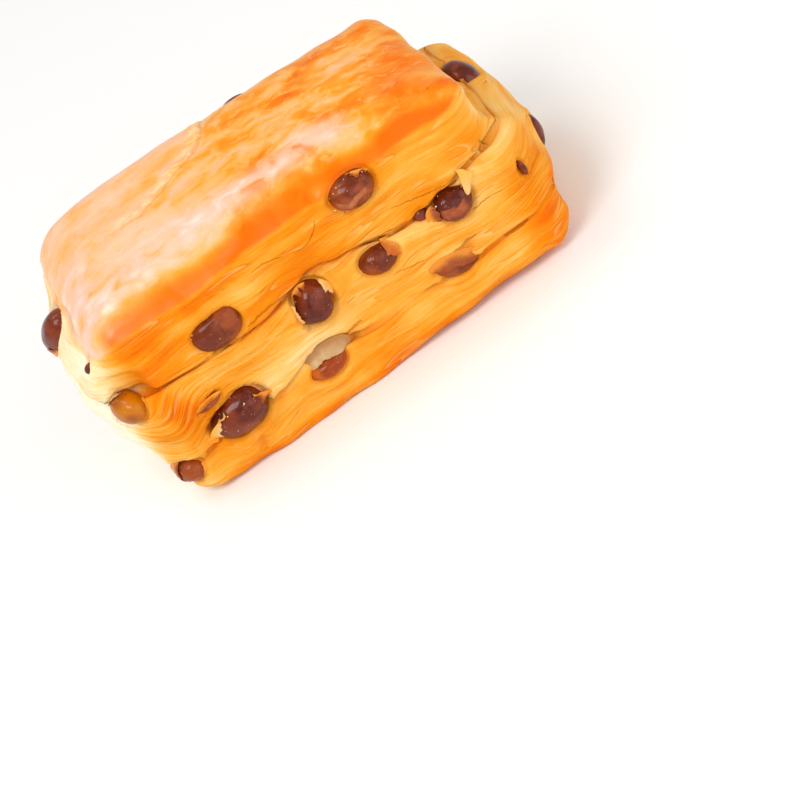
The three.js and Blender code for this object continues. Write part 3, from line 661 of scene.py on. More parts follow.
def build_loaf():
    """Points, faces and marks of the whole loaf."""
    at = plan_outline(FRONT_STEPS, END_STEPS)
    place = loaf_rings(at)
    px, py, heights = np.moveaxis(place, -1, 0)
    normals = grid_normals(place, closed=True)
    fan, right_fan, left_half = comb_layers(at, px, heights)
    # at the front left the middle fold's layers turn down round its end
    grain = grain_height(place, heights) + fan * 6.5 * ease((-px - 29) / 15)
    grain = grain + right_fan * 4.0 * (heights - 19) / 6
    relief = dough_relief(at, px, py, heights, grain, fan)
    cut = crease_cut(at, px, py, heights)
    rings = place + normals * relief[..., None] - normals * cut[..., None]
    rings[..., 2] -= lid_hang(at, px, py, heights)
    rings[..., 2] += crust_relief(px, py) * ease((heights - SHOULDER_HEIGHT) / 3.5)

    marks = {"hollow": np.zeros(rings.shape[:2])}
    for number, bean in enumerate(BEANS):
        press_in_bean(rings, marks, bean, 100 + number)
    marks["brown"] = side_marks(rings, at, heights)
    marks["crust"] = crust_share(at, px, py, heights)
    # depth: how deep the crease cuts are, which the material paints as shade in the creases, weaker on the
    # front
    marks["depth"] = np.clip(cut, 0, 1) * by_side(at, 0.55, 1, 1, 1)
    marks["fan"] = np.clip(fan + right_fan + left_half, 0, 1) - 0.17 * by_side(at, 0, 0, 1, 1)

    points = [rings.reshape(-1, 3)]
    grains = [np.stack([px, py, grain], axis=-1).reshape(-1, 3)]
    places = [place.reshape(-1, 3)]
    flat_marks = {name: [value.reshape(-1)] for name, value in marks.items()}
    faces = []
    _, _, nx, ny = at
    count = len(nx)

    ring_numbers = np.arange(len(rings) * count).reshape(-1, count)
    faces.append(quads_of(ring_numbers, closed=True).reshape(-1, 4))

    def add_points(new, values):
        start = sum(len(p) for p in points)
        points.append(new)
        grains.append(new.copy())
        places.append(new.copy())
        for name in flat_marks:
            flat_marks[name].append(np.full(len(new), values.get(name, 0.0)))
        return start

    def add_cap(ring_index, height_of, values, upwards):
        """Closes a ring of points with a grid of half as many steps."""
        ring = np.concatenate(points)[ring_index]
        half_index = ring_index[::2]
        fs, es = FRONT_STEPS // 2, END_STEPS // 2
        grid = grid_inside(ring[::2], fs, es)
        inner = grid[1:-1, 1:-1].copy()
        inner[..., 2] = height_of(inner[..., 0], inner[..., 1])
        start = add_points(inner.reshape(-1, 3), values)
        index = np.zeros((es + 1, fs + 1), int)
        index[1:-1, 1:-1] = start + np.arange((es - 1) * (fs - 1)).reshape(es - 1, fs - 1)
        index[0, :] = half_index[: fs + 1]
        index[:, -1] = half_index[fs : fs + es + 1]
        index[-1, ::-1] = half_index[fs + es : 2 * fs + es + 1]
        index[1:, 0] = half_index[2 * fs + es :][::-1]
        quads = quads_of(index)
        groups = [quads[1:-1, 1:-1].reshape(-1, 4)] + rim_cells(quads, ring_index)
        faces.extend(group if upwards else group[:, ::-1] for group in groups)

    last = (len(rings) - 1) * count

    def lid_top(gx, gy):
        return top_height(gx, gy) + crust_relief(gx, gy)

    add_cap(last + np.arange(count), lid_top, {"crust": 1.0, "brown": 0.6}, True)
    foot = points[0][:count]
    flat = np.stack([foot[:, 0] - nx * FLAT_INSET, foot[:, 1] - ny * FLAT_INSET, np.zeros(count)], axis=-1)
    start = add_points(flat, {"brown": 0.8})
    own, nxt = np.arange(count), (np.arange(count) + 1) % count
    faces.append(np.stack([start + own, start + nxt, nxt, own], axis=-1))
    add_cap(start + own, lambda gx, gy: np.zeros_like(gx), {"brown": 0.8}, False)

    flat_marks = {name: np.concatenate(parts) for name, parts in flat_marks.items()}
    vectors = {"grain": np.concatenate(grains), "place": np.concatenate(places)}
    return np.concatenate(points), faces, vectors, flat_marks


# ---------------------------------------------------------------- meshes
def make_mesh(name, points_mm, faces, material, shift):
    """A mesh object from points in millimetres; faces is a list of arrays of corner numbers."""
    mesh = bpy.data.meshes.new(name)
    totals = np.concatenate([np.full(len(group), group.shape[1]) for group in faces])
    corners = np.concatenate([group.reshape(-1) for group in faces])
    mesh.vertices.add(len(points_mm))
    mesh.vertices.foreach_set("co", ((points_mm + shift) * MM).astype(np.float32).reshape(-1))
    mesh.loops.add(len(corners))
    mesh.loops.foreach_set("vertex_index", corners.astype(np.int32))
    mesh.polygons.add(len(totals))
    starts = np.concatenate([[0], np.cumsum(totals)[:-1]])
    mesh.polygons.foreach_set("loop_start", starts.astype(np.int32))
    mesh.update(calc_edges=True)
    mesh.validate()
    mesh.polygons.foreach_set("use_smooth", np.ones(len(mesh.polygons), bool))
    mesh.materials.append(material)
    piece = bpy.data.objects.new(name, mesh)
    bpy.context.scene.collection.objects.link(piece)
    return piece


BOX_MARGIN = np.array([0.02, 0.02, 0])


def kept_in_box(points, shift):
    """Points in millimetres kept just inside the CAD model's box."""
    low, high = (np.array(corner) / MM for corner in CAD_BOX)
    return np.clip(points + shift, low + BOX_MARGIN, high - BOX_MARGIN) - shift


def add_values(piece, name, values):
    """Stores a number or a vector for each point of a piece, for its material to read."""
    kind, field = ("FLOAT_VECTOR", "vector") if values.ndim == 2 else ("FLOAT", "value")
    attribute = piece.data.attributes.new(name, kind, "POINT")
    attribute.data.foreach_set(field, values.astype(np.float32).reshape(-1))


# ---------------------------------------------------------------- materials
# Colours are written as 0 to 255 sRGB, and made linear where a node takes them.
def linear(colour):
    """Linear colour from one written as 0 to 255 sRGB."""
    shares = (((c / 255 + 0.055) / 1.055) ** 2.4 if c > 10 else c / 255 / 12.92 for c in colour)
    return tuple(shares) + (1,)


class Value:
    """What comes out of a node. Adding, subtracting and multiplying it makes further nodes."""

    def __init__(self, nodes, socket):
        self.nodes = nodes
        self.socket = socket

    def __add__(self, other):
        return self.nodes.math("ADD", self, other)

    def __sub__(self, other):
        return self.nodes.math("SUBTRACT", self, other)

    def __rsub__(self, other):
        return self.nodes.math("SUBTRACT", other, self)

    def __mul__(self, other):
        return self.nodes.math("MULTIPLY", self, other)


class Nodes:
    """Short names for the nodes of one material."""

    def __init__(self, name):
        self.material = bpy.data.materials.new(name)
        self.material.use_nodes = True
        self.tree = self.material.node_tree

    def put(self, socket, value):
        if isinstance(value, Value):
            self.tree.links.new(value.socket, socket)
        else:
            socket.default_value = value

    def add(self, kind, inputs, output=0, **settings):
        """A new node with its inputs and settings, as the value of one of its outputs."""
        node = self.tree.nodes.new("ShaderNode" + kind)
        for key, value in settings.items():
            setattr(node, key, value)
        for key, value in inputs.items():
            self.put(node.inputs[key], value)
        return Value(self, node.outputs[output])

    def mark(self, name, output="Fac"):
        return self.add("Attribute", {}, output, attribute_name=name)

    def own_place(self):
        """The place in the piece's own axes, in metres."""
        return self.add("TexCoord", {}, "Object")

    def math(self, operation, a, b=0.0, clamp=False):
        return self.add("Math", {0: a, 1: b}, operation=operation, use_clamp=clamp)

    def noise(self, place, scale, detail=3.0, roughness=0.55, distortion=0.0):
        """Noise from 0 to 1, with one scale or one for each axis."""
        scale = scale if isinstance(scale, tuple) else (scale,) * 3
        spread = self.add("VectorMath", {0: place, 1: scale}, operation="MULTIPLY")
        settings = {"Scale": 1.0, "Detail": detail, "Roughness": roughness, "Distortion": distortion}
        return self.add("TexNoise", {"Vector": spread, **settings})

    def ramp(self, value, stops):
        """A colour that changes with a value, by (place, colour) stops."""
        made = self.add("ValToRGB", {0: value})
        elements = made.socket.node.color_ramp.elements
        while len(elements) < len(stops):
            elements.new(0.5)
        for element, (place, colour) in zip(elements, stops):
            element.position = place
            element.color = linear(colour)
        return made

    def steps(self, value, low, high):
        """0 below low, 1 above high."""
        return self.add("MapRange", {0: value, 1: low, 2: high}, interpolation_type="SMOOTHSTEP")

    def blend(self, factor, a, b):
        """A mix of two colours, from a at 0 to b at 1."""
        a, b = (linear(colour) if isinstance(colour, tuple) else colour for colour in (a, b))
        return self.add("Mix", {0: factor, 6: a, 7: b}, 2, data_type="RGBA", clamp_factor=True)

    def over(self, colour, *layers):
        """Layers of (how strong, colour) laid over a colour."""
        for strength, layer in layers:
            colour = self.blend(strength, colour, layer)
        return colour

    def bumped(self, height, distance, strength):
        return self.add("Bump", {"Strength": strength, "Distance": distance, "Height": height})

    def shade(self, **values):
        """Sets the shader's inputs and hands back the material."""
        shader = self.tree.nodes["Principled BSDF"]
        for key, value in values.items():
            self.put(shader.inputs[key.replace("_", " ")], value)
        return self.material


# cracks between the layers of the front side: start and end (x, height), bend aside and half width, in mm
CRACKS = [
    ((37.8, 30.2), (18.4, 31.4), -0.9, 0.13),
    ((22.5, 26.2), (9.0, 28.9), 0.5, 0.25),
    ((5.3, 39.1), (-2.0, 35.8), -1.2, 0.14),
    ((-3.8, 36.6), (-11.0, 38.0), 0.5, 0.12),
    ((-4.6, 28.6), (-17.4, 29.4), 0.8, 0.26),
    ((33.5, 11.0), (40.5, 11.6), 0.3, 0.42),
    ((22.6, 15.2), (29.8, 15.6), 0.5, 0.45),
    ((-4.4, 12.0), (1.6, 13.6), -0.4, 0.36),
    ((31.5, 20.6), (39.5, 20.2), -0.6, 0.1),
    ((12.0, 18.6), (19.0, 17.2), 0.4, 0.11),
]
DOUGH_COLOURS = [
    (0.0, (254, 244, 214)),
    (0.2, (252, 222, 164)),
    (0.4, (247, 191, 103)),
    (0.58, (243, 166, 56)),
    (0.78, (236, 138, 10)),
    (1.0, (228, 104, 0)),
]
CRUST_COLOURS = [
    (0.28, (240, 106, 0)),
    (0.4, (247, 138, 12)),
    (0.49, (251, 160, 42)),
    (0.57, (252, 178, 94)),
    (0.66, (251, 188, 134)),
    (0.78, (252, 200, 160)),
]
CRUMB_COLOURS = [(0.38, (150, 66, 20)), (0.5, (246, 188, 110)), (0.62, (255, 232, 196))]
# each bean's deep and light skin, its flesh and how glossy it is
SKINS = {
    "dark": ((86, 22, 6), (130, 52, 20), (168, 84, 42), 0.4),
    "brown": ((108, 38, 8), (152, 68, 22), (190, 108, 62), 0.35),
    "clear": ((150, 58, 4), (190, 92, 14), (206, 118, 40), 0.35),
    "amber": ((160, 82, 0), (194, 112, 0), (226, 150, 60), 0.35),
}
# each film's colour at its root and over the bean, and how rough it is
FILM_LOOKS = {
    "orange": ((246, 160, 50), (200, 96, 16), 0.3),
    "cream": ((249, 176, 74), (244, 190, 120), 0.45),
    "grey": ((178, 122, 68), (204, 162, 114), 0.3),
    "brown": ((236, 140, 40), (156, 68, 18), 0.25),
}


def crack_lines(n, place):
    """1 in the front side's cracks, 0 elsewhere."""
    x, y, z = (n.add("SeparateXYZ", {0: place}, axis) for axis in range(3))
    wander = (n.noise(place, 0.9, 2.0) - 0.5) * 0.7
    total = 0.0
    for (x0, z0), (x1, z1), bend, width in CRACKS:
        length = math.hypot(x1 - x0, z1 - z0)
        ux, uz = (x1 - x0) / length, (z1 - z0) / length
        along = x * (ux / length) + z * (uz / length) - (x0 * ux + z0 * uz) / length
        across = x * uz - z * ux - (x0 * uz - z0 * ux) + wander
        arch = n.math("MULTIPLY", along * 4.0, 1.0 - along, clamp=True)
        off = n.math("ABSOLUTE", across - arch * bend)
        open_by = n.math("SQRT", arch) * width
        total = n.math("MAXIMUM", total, n.steps(open_by - off, -0.06, 0.1))
    return total * n.steps(y * -1.0, 16.0, 19.0)


def layered_side(n, place):
    """Colour and height of the dough's fibres and layer edges, which follow the grain, with painted shadow
    under the sheets' edges, a painted highlight on their lit edges and painted shade in the cracks.
    """
    grain = n.mark("grain", "Vector")
    clouds = n.noise(place, (0.09, 0.09, 0.16), 3.0, 0.5, 0.6)
    patches = n.noise(grain, (0.045, 0.045, 0.34))
    strands = n.noise(grain, (0.06, 0.06, 1.0), 3.0, 0.55, 0.2)
    fibres = n.noise(grain, (0.1, 0.1, 2.7), 3.0, 0.6, 0.3)
    layers = n.noise(grain, (0.04, 0.04, 0.4), 1.0, 0.4, 0.3)
    sheet = n.math("FRACT", layers * 5.0)
    torn = n.steps(n.noise(grain, (0.11, 0.11, 0.4), 2.0), 0.48, 0.6)
    # painted shadow under the sheets' edges; the lit edges below get a painted highlight
    shadow_under_sheets = n.steps(sheet, 0.8, 0.98) * torn * n.steps(strands, 0.4, 0.56)
    lit = (1.0 - n.steps(sheet, 0.0, 0.35)) * torn
    # the cracks are painted dark orange as shade in the slits
    cracks = crack_lines(n, place)

    combed = n.mark("fan") * 0.9 + 0.22
    tone = n.mark("brown") - 0.02
    for part, amount in ((clouds, 0.5), (patches, 0.5), (strands, 0.3), (fibres, combed)):
        tone = tone + (part - 0.5) * amount
    colour = n.over(
        n.ramp(tone, DOUGH_COLOURS),
        (shadow_under_sheets * 0.42, (206, 98, 14)),
        (lit * 0.25, (255, 222, 150)),
        (cracks * 0.55, (168, 72, 8)),
    )
    height = strands * 0.4 + fibres * combed - sheet * torn * 0.5 - cracks * 0.6
    return colour, height


def glazed_crust(n, place):
    """Colour, height and patchiness of the lid's crust: orange and peach patches, wisps, a crease and a
    painted pink-white highlight over the front shoulder and the left end.
    """
    glow, pale, fading = (n.mark(name) for name in ("glow", "pale", "fading"))
    patches = n.noise(place, (0.075, 0.1, 0.05), 2.0, 0.45, 0.5)
    clouds = n.noise(place, (0.17, 0.24, 0.1), 2.0, 0.5, 0.6)
    flecks = n.noise(place, (0.36, 0.5, 0.3), 4.0, 0.5, 0.8)
    pores = n.noise(place, 3.0, 2.0, 0.6)
    # the shoulder glows an even deep orange, and the rest is patchy
    varied = patches * 0.55 + clouds * 0.45 - 0.5
    tone = pale * 0.15 + 0.505
    tone = tone + (0.31 - tone) * glow
    tone = tone + varied * (1.15 - glow * 0.7 - pale * 0.35)
    open_part = n.math("SUBTRACT", 1.0 - pale * 0.7, glow, clamp=True)
    dusky = 1.0 - n.steps(flecks, 0.32, 0.46)
    # a painted pink-white highlight over the shoulder, with a whiter painted core
    painted_sheen = n.mark("painted_sheen") * n.steps(clouds, 0.22, 0.52)

    # the crease: a thin line with pale wisps beside it
    across = n.mark("seam") + (n.noise(place, 0.2, 3.0, 0.45) * 3.0 - 1.5)
    line = (1.0 - n.steps(n.math("ABSOLUTE", across), 0.05, 0.6)) * fading
    beside = (1.0 - n.steps(n.math("ABSOLUTE", across + 1.3), 0.4, 2.8)) * fading
    colour = n.over(
        n.ramp(tone, CRUST_COLOURS),
        (n.steps(flecks, 0.53, 0.68) * (open_part * 0.34), (254, 212, 132)),
        (dusky * 0.14, (243, 124, 12)),
        (painted_sheen * 0.72, (254, 202, 184)),
        (painted_sheen * n.steps(clouds, 0.5, 0.72) * 0.6, (255, 232, 220)),
        (beside * n.steps(flecks, 0.4, 0.62) * 0.5, (255, 228, 168)),
        (line * 0.42, (226, 134, 48)),
    )
    height = clouds * 0.8 + flecks * 0.3 + pores * 0.04 - line * 0.5
    return colour, height, clouds


def dough_material():
    """Layered dough on the sides and glazed crust on the lid, in one material."""
    n = Nodes("layered_dough")
    place = n.mark("place", "Vector")
    crust = n.mark("crust")
    side, side_height = layered_side(n, place)
    glaze, glaze_height, clouds = glazed_crust(n, place)
    # laid over the blend: painted shade in the crease cuts (depth), and a darker tint round the beans and
    # in their pits (hollow) that is partly syrup stain and partly painted shade
    colour = n.over(
        n.blend(crust, side, glaze),
        (n.mark("depth") * 0.5, (196, 92, 14)),
        (n.mark("hollow") * 0.6, (214, 108, 22)),
    )
    height = side_height * (1.0 - crust) + glaze_height * (crust * 0.5) + crust * 0.35
    return n.shade(
        Base_Color=colour,
        Roughness=crust * -0.12 + 0.52,
        Normal=n.bumped(height, 0.0005, 0.65),
        Coat_Weight=n.mark("gloss") * n.steps(clouds, 0.34, 0.6),
        Coat_Roughness=0.22,
        Coat_IOR=1.7,
        Subsurface_Weight=0.15,
        Subsurface_Radius=(1.0, 0.5, 0.2),
        Subsurface_Scale=0.0025,
        Specular_IOR_Level=0.06,
    )


def bean_material(look):
    """Candied bean: a glossy skin over paler flesh, which shows where the skin is torn, with pale specks
    painted on as glints.
    """
    deep, light, flesh, coat = SKINS[look]
    n = Nodes("bean_" + look)
    spot = n.own_place()
    patches = n.noise(spot, 200, 3.0, 0.5, 0.3)
    streaks = n.noise(spot, 600, 3.0, 0.6, 0.5)
    glint_specks = n.noise(spot, 2100, 2.0, 0.6)
    bare = n.mark("bare")
    skin = n.blend(n.steps(patches, 0.38, 0.64), deep, light)
    skin = n.blend(n.steps(streaks, 0.5, 0.7) * 0.3, skin, light)
    meat = n.blend(n.steps(streaks, 0.35, 0.65), n.blend(0.5, flesh, light), flesh)
    # pale specks painted on the skin as glints
    colour = n.over(skin, (bare, meat), (n.steps(glint_specks, 0.69, 0.74) * 0.6, (238, 200, 164)))
    return n.shade(
        Base_Color=colour,
        Roughness=patches * 0.3 + 0.16 + bare * 0.2,
        Normal=n.bumped(patches * 0.6 + streaks * 0.4 + glint_specks * 0.08, 0.0003, 0.7),
        Coat_Weight=coat,
        Coat_Roughness=0.07,
        Subsurface_Weight=0.12,
        Subsurface_Radius=(1.0, 0.3, 0.15),
        Subsurface_Scale=0.001,
        Specular_IOR_Level=0.1,
    )


def film_material(look):
    """A thin skin of dough or syrup: like the dough at its root, tinted where it lies on the bean."""
    root, over, rough = FILM_LOOKS[look]
    n = Nodes("film_" + look)
    patches = n.noise(n.own_place(), 450, 3.0, 0.6, 0.4)
    reach = n.mark("thin") + (patches - 0.5) * 0.7
    return n.shade(
        Base_Color=n.blend(n.steps(reach, 0.15, 0.8), root, over),
        Roughness=rough,
        Normal=n.bumped(patches, 0.0003, 0.5),
        Subsurface_Weight=0.2,
        Subsurface_Radius=(1.0, 0.5, 0.2),
        Subsurface_Scale=0.0015,
        Specular_IOR_Level=0.25,
    )


def crumb_material():
    """Crumbs from brown to nearly white."""
    n = Nodes("crumbs")
    tone = n.noise(n.own_place(), 900, 1.0)
    return n.shade(Base_Color=n.ramp(tone, CRUMB_COLOURS), Roughness=0.35)


def floor_material():
    """A matt floor, almost white."""
    n = Nodes("pale_floor")
    cloud = n.noise(n.own_place(), 3.0, 2.0)
    return n.shade(Base_Color=n.blend(cloud, (250, 249, 247), (253, 252, 250)), Roughness=0.9)


# ---------------------------------------------------------------- beans
BEAN_ROUND = 56
BEAN_ALONG = 36
TEAR_WIDTH = {"split": 0.2, "torn": 0.34}


def bean_skin(bean, unit, seed):
    """How far a bean's skin stands out, as a share of its size, and how bare its flesh is there."""
    ux, uy, uz = unit.T
    dents = 0.035 * noise(ux * 1.6, uy * 1.6, uz * 1.6, seed)
    fine = 0.0
    bare = np.zeros(len(unit))
    if bean.skin == "wrinkled":
        fine = 0.05 * np.abs(noise(ux * 2.2, uy * 6, uz * 6, seed + 1)) - 0.03
    elif bean.skin == "smooth":
        fine = 0.012 * noise(ux * 2, uy * 4, uz * 4, seed + 1)
    else:
        gap = TEAR_WIDTH[bean.skin]
        across = np.abs(uy + 0.1 - 0.16 * noise(ux * 2.5, 0, 0, seed + 2))
        facing = ease((uz - 0.2) / 0.2) * ease((0.75 - np.abs(ux + 0.15)) / 0.2)
        bare = ease((gap - across) / 0.05) * facing
        curl = bump(across - gap - 0.05, 0.06) * facing
        fine = 0.05 * curl - 0.055 * bare + 0.015 * noise(ux * 3, uy * 6, uz * 3, seed + 3)
    return 1 - 0.03 + dents + fine, bare


def bean_surface(bean, seed):
    """Points, faces and bareness of one bean, with its wrinkles and torn skin."""
    half_sizes = np.array(bean.size) / 2
    centre, *axes = bean_axes(bean)
    polar = np.pi * np.arange(1, BEAN_ALONG)[:, None] / BEAN_ALONG
    turn = 2 * np.pi * np.arange(BEAN_ROUND)[None, :] / BEAN_ROUND
    sphere = np.broadcast_arrays(np.cos(polar), np.sin(polar) * np.cos(turn), np.sin(polar) * np.sin(turn))
    unit = np.vstack([np.stack(sphere, axis=-1).reshape(-1, 3), [[1, 0, 0]], [[-1, 0, 0]]])
    swell, bare = bean_skin(bean, unit, seed)
    swell = swell / (np.abs(unit) ** bean.block).sum(axis=1) ** (1 / bean.block)
    ux, uy, uz = unit.T
    bend = -BEAN_BEND * (1 - ux**2) + BEAN_BEND / 2
    local = np.stack([ux, uy + bend, uz], axis=-1) * half_sizes * swell[:, None]
    points = centre + local @ np.stack(axes)

    index = np.arange((BEAN_ALONG - 1) * BEAN_ROUND).reshape(-1, BEAN_ROUND)
    quads = np.roll(quads_of(index, closed=True)[..., ::-1], 1, axis=-1).reshape(-1, 4)
    first, final = np.full(BEAN_ROUND, len(unit) - 2), np.full(BEAN_ROUND, len(unit) - 1)
    start_cap = np.stack([first, index[0], np.roll(index[0], -1)], axis=-1)
    end_cap = np.stack([np.roll(index[-1], -1), index[-1], final], axis=-1)
    return points, [quads, start_cap, end_cap], bare


def add_beans(shift):
    materials = {look: bean_material(look) for look in SKINS}
    for number, bean in enumerate(BEANS, start=1):
        points, faces, bare = bean_surface(bean, 200 + 10 * number)
        material = materials[bean.tint or bean.look]
        piece = make_mesh(f"candied_bean_{number:02d}", kept_in_box(points, shift), faces, material, shift)
        add_values(piece, "bare", bare)
        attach(piece, "root")
        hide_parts(f"bean_{number:02d}")


# ---------------------------------------------------------------- films, flaps and crumbs
# films of dough and syrup drawn over beans: bean's number, from and to (degrees round the bean), where they
# start and how far in they reach (1 is the bean's outline), their look, and how far their outer edge dips
FILMS = [
    (1, 20, 80, 1.15, 0.9, "brown", 0),
    (2, 150, 214, 1.5, 0.84, "brown", 0),
    (4, -40, 66, 1.24, 0.4, "orange", 0),
    (5, -75, -10, 1.16, 0.88, "cream", 0),
    (5, 84, 150, 1.16, 0.86, "cream", 0),
    (5, 20, 70, 1.26, 0.92, "brown", 0),
    (7, 100, 196, 1.2, 0.88, "cream", 0),
    (7, -10, 42, 1.24, 0.9, "brown", 0),
    (7, -128, -60, 1.18, 0.92, "orange", 0),
    (8, 4, 176, 1.6, 0.5, "brown", 0.4),
    (9, 16, 140, 2.2, 0.8, "grey", 1.0),
    (10, 10, 170, 1.3, 0.7, "orange", 0.2),
    (11, 110, 262, 1.24, 0.1, "brown", 0),
    # bean 13's grey film is partly a film and partly a painted sheen over the bean
    (13, 95, 190, 1.12, 0.72, "grey", 0),
    (14, -150, -90, 1.1, 0.8, "brown", 0),
    (17, 20, 150, 1.24, 0.5, "cream", 0),
    (24, 100, 170, 1.3, 0.8, "cream", 0),
    (26, 120, 200, 1.24, 0.84, "cream", 0),
    (27, 20, 160, 1.24, 0.5, "orange", 0),
    (28, -60, 30, 1.3, 0.5, "brown", 0),
    (30, 20, 160, 1.24, 0.4, "orange", 0),
]
# loose flaps of dough on the front side: base corners and tip (x, height), and how far the tip stands out
FLAPS = [((33.3, 30.6), (34.7, 27.9), (31.2, 25.0), 0.9)]
FILM_THICKNESS = 0.12
FILM_POINTS = (17, 61)
FLAP_POINTS = (25, 25)


def unit_grid(rows, columns):
    """Two runs from 0 to 1, down and across, that span a grid."""
    return np.linspace(0, 1, rows)[:, None], np.linspace(0, 1, columns)[None, :]


def thin_sheet(grid, outwards):
    """Points and faces of a closed thin sheet over a grid of points."""
    lift = outwards * FILM_THICKNESS / 2
    points = np.concatenate([(grid + lift).reshape(-1, 3), (grid - lift).reshape(-1, 3)])
    rows, columns = grid.shape[:2]
    index = np.arange(rows * columns).reshape(rows, columns)
    upper = quads_of(index).reshape(-1, 4)
    lower = upper[:, ::-1] + index.size
    rim = np.concatenate([index[0, :-1], index[:-1, -1], index[-1, :0:-1], index[:0:-1, 0]])
    following = np.roll(rim, -1)
    edge = np.stack([rim, rim + index.size, following + index.size, following], axis=-1)
    return points, [upper, lower, edge]


def film_surface(bean, start, end, outer, reach, dip, seed):
    """A film from the dough's rim in over a bean's skin, with a ragged inner edge."""
    half_l, half_w, half_t = (size / 2 for size in bean.size)
    centre, lengthwise, widthwise, out = bean_axes(bean)
    inwards, across = unit_grid(*FILM_POINTS)
    angle = np.radians(mix(start, end, across))
    ragged = 0.09 * noise(across * 5, 0, 0, seed) + 0.035 * noise(across * 17, 0, 1, seed)
    arch = np.sin(np.pi * across) ** 0.55
    inner = mix(1.08, reach + ragged, arch)
    rho = mix(mix(1.1, outer, arch), inner, inwards)
    skin = half_t * np.sqrt(np.clip(1 - rho**2, 0, 1)) + 0.16
    at_edge = half_t * np.sqrt(np.clip(1 - inner**2, 0, 1)) + 0.2
    sag = 0.5 * np.sin(np.pi * inwards) * ease((outer - 1.3) / 0.5)
    rise = mix(bean.sunk - 0.15 - dip, at_edge, inwards)
    level = np.maximum(rise - sag, np.where(rho < 1, skin, -9))
    level = level + 0.07 * noise(rho * 6, across * 9, 0, seed + 1)
    a, b = half_l * rho * np.cos(angle), half_w * rho * np.sin(angle)
    grid = centre + a[..., None] * lengthwise + b[..., None] * widthwise + level[..., None] * out
    return grid, out, np.broadcast_to(inwards, rho.shape)


def on_front(x, height, above):
    """A point a little above the front side's surface."""
    at = np.array([x, -HALF_DEPTH, 0.0, -1.0])
    return side_point(at, np.array(height)) + np.array([0, -above, 0])


def flap_surface(left, right, tip, lift, seed):
    """A small torn flap: a curved triangle that narrows from its base to a blunt tip."""
    down, across = (run[..., None] for run in unit_grid(*FLAP_POINTS))
    base_left, base_right = on_front(*left, 0.0), on_front(*right, 0.0)
    middle = (base_left + base_right) / 2
    base = mix(base_left, base_right, across)
    narrow = 1 - 0.8 * down**0.55
    grid = mix(middle, on_front(*tip, lift), down) + (base - middle) * narrow
    grid = grid + np.array([0.3, 0, 0.2]) * noise(down * 4, across * 3, 0, seed)
    grid = grid - np.array([0, 1.0, 0]) * (np.sin(np.pi * down) * lift * 0.4 + np.sin(np.pi * across) * 0.3)
    return grid, np.array([0, -1.0, 0]), np.broadcast_to(down[..., 0], grid.shape[:2])


def add_films(shift):
    materials = {look: film_material(look) for look in FILM_LOOKS}
    sheets = []
    for number, (bean_number, start, end, outer, reach, look, dip) in enumerate(FILMS, start=1):
        surface = film_surface(BEANS[bean_number - 1], start, end, outer, reach, dip, 400 + number)
        sheets.append((f"film_{number:02d}", surface, look))
    for number, (left, right, tip, lift) in enumerate(FLAPS, start=1):
        sheets.append((f"flap_{number:02d}", flap_surface(left, right, tip, lift, 440 + number), "cream"))
    for name, (grid, out, inwards), look in sheets:
        points, faces = thin_sheet(grid, out)
        piece = make_mesh(name, kept_in_box(points, shift), faces, materials[look], shift)
        add_values(piece, "thin", np.tile(inwards.reshape(-1), 2))
        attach(piece, "root")
        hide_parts("bread")


# crumbs round the rims of some beans: the bean's number and how many
CRUMBS = [(1, 16), (2, 10), (6, 8), (7, 10), (5, 6), (24, 12), (26, 10), (28, 8), (18, 8)]
CRUMB_SEED = 7
CRUMB_POINTS = np.array([[1, 0, 0], [0, 1, 0], [-1, 0, 0], [0, -1, 0], [0, 0, 1], [0, 0, -1]], float)
CRUMB_FACES = np.array(
    [[0, 1, 4], [1, 2, 4], [2, 3, 4], [3, 0, 4], [1, 0, 5], [2, 1, 5], [3, 2, 5], [0, 3, 5]]
)


def add_crumbs(shift):
    """Crumbs of crust and sugar round the rims of some beans, as one piece."""
    random = np.random.default_rng(CRUMB_SEED)
    points, faces = [], []
    for bean_number, count in CRUMBS:
        bean = BEANS[bean_number - 1]
        half_l, half_w, half_t = (size / 2 for size in bean.size)
        centre, lengthwise, widthwise, out = bean_axes(bean)
        for _ in range(count):
            angle = random.uniform(0, 2 * math.pi)
            rho = random.uniform(0.93, 1.03)
            a, b = half_l * rho * math.cos(angle), half_w * rho * math.sin(angle)
            level = max(bean.sunk - 0.1, half_t * math.sqrt(max(1 - rho * rho, 0)))
            middle = centre + a * lengthwise + b * widthwise + level * out
            size = random.uniform(0.1, 0.26)
            turned, _ = np.linalg.qr(random.normal(size=(3, 3)))
            shape = CRUMB_POINTS * size * random.uniform(0.5, 1.3, size=(6, 1))
            faces.append(CRUMB_FACES + 6 * len(points))
            points.append(middle + shape @ turned)
    all_points = kept_in_box(np.concatenate(points), shift)
    piece = make_mesh("rim_crumbs", all_points, faces, crumb_material(), shift)
    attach(piece, "root")
    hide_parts("bread")


# ---------------------------------------------------------------- the loaf
def frame_shift():
    """How far the frame's origin lies from the loaf's own, in mm, by the places of the frame's beans."""
    shifts = []
    for number, bean in enumerate(BEANS, start=1):
        low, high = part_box(f"bean_{number:02d}")
        middle = (np.array(low) + np.array(high)) / 2 / MM
        shifts.append(middle - bean_axes(bean)[0])
    return np.mean(shifts, axis=0) * (1, 1, 0)


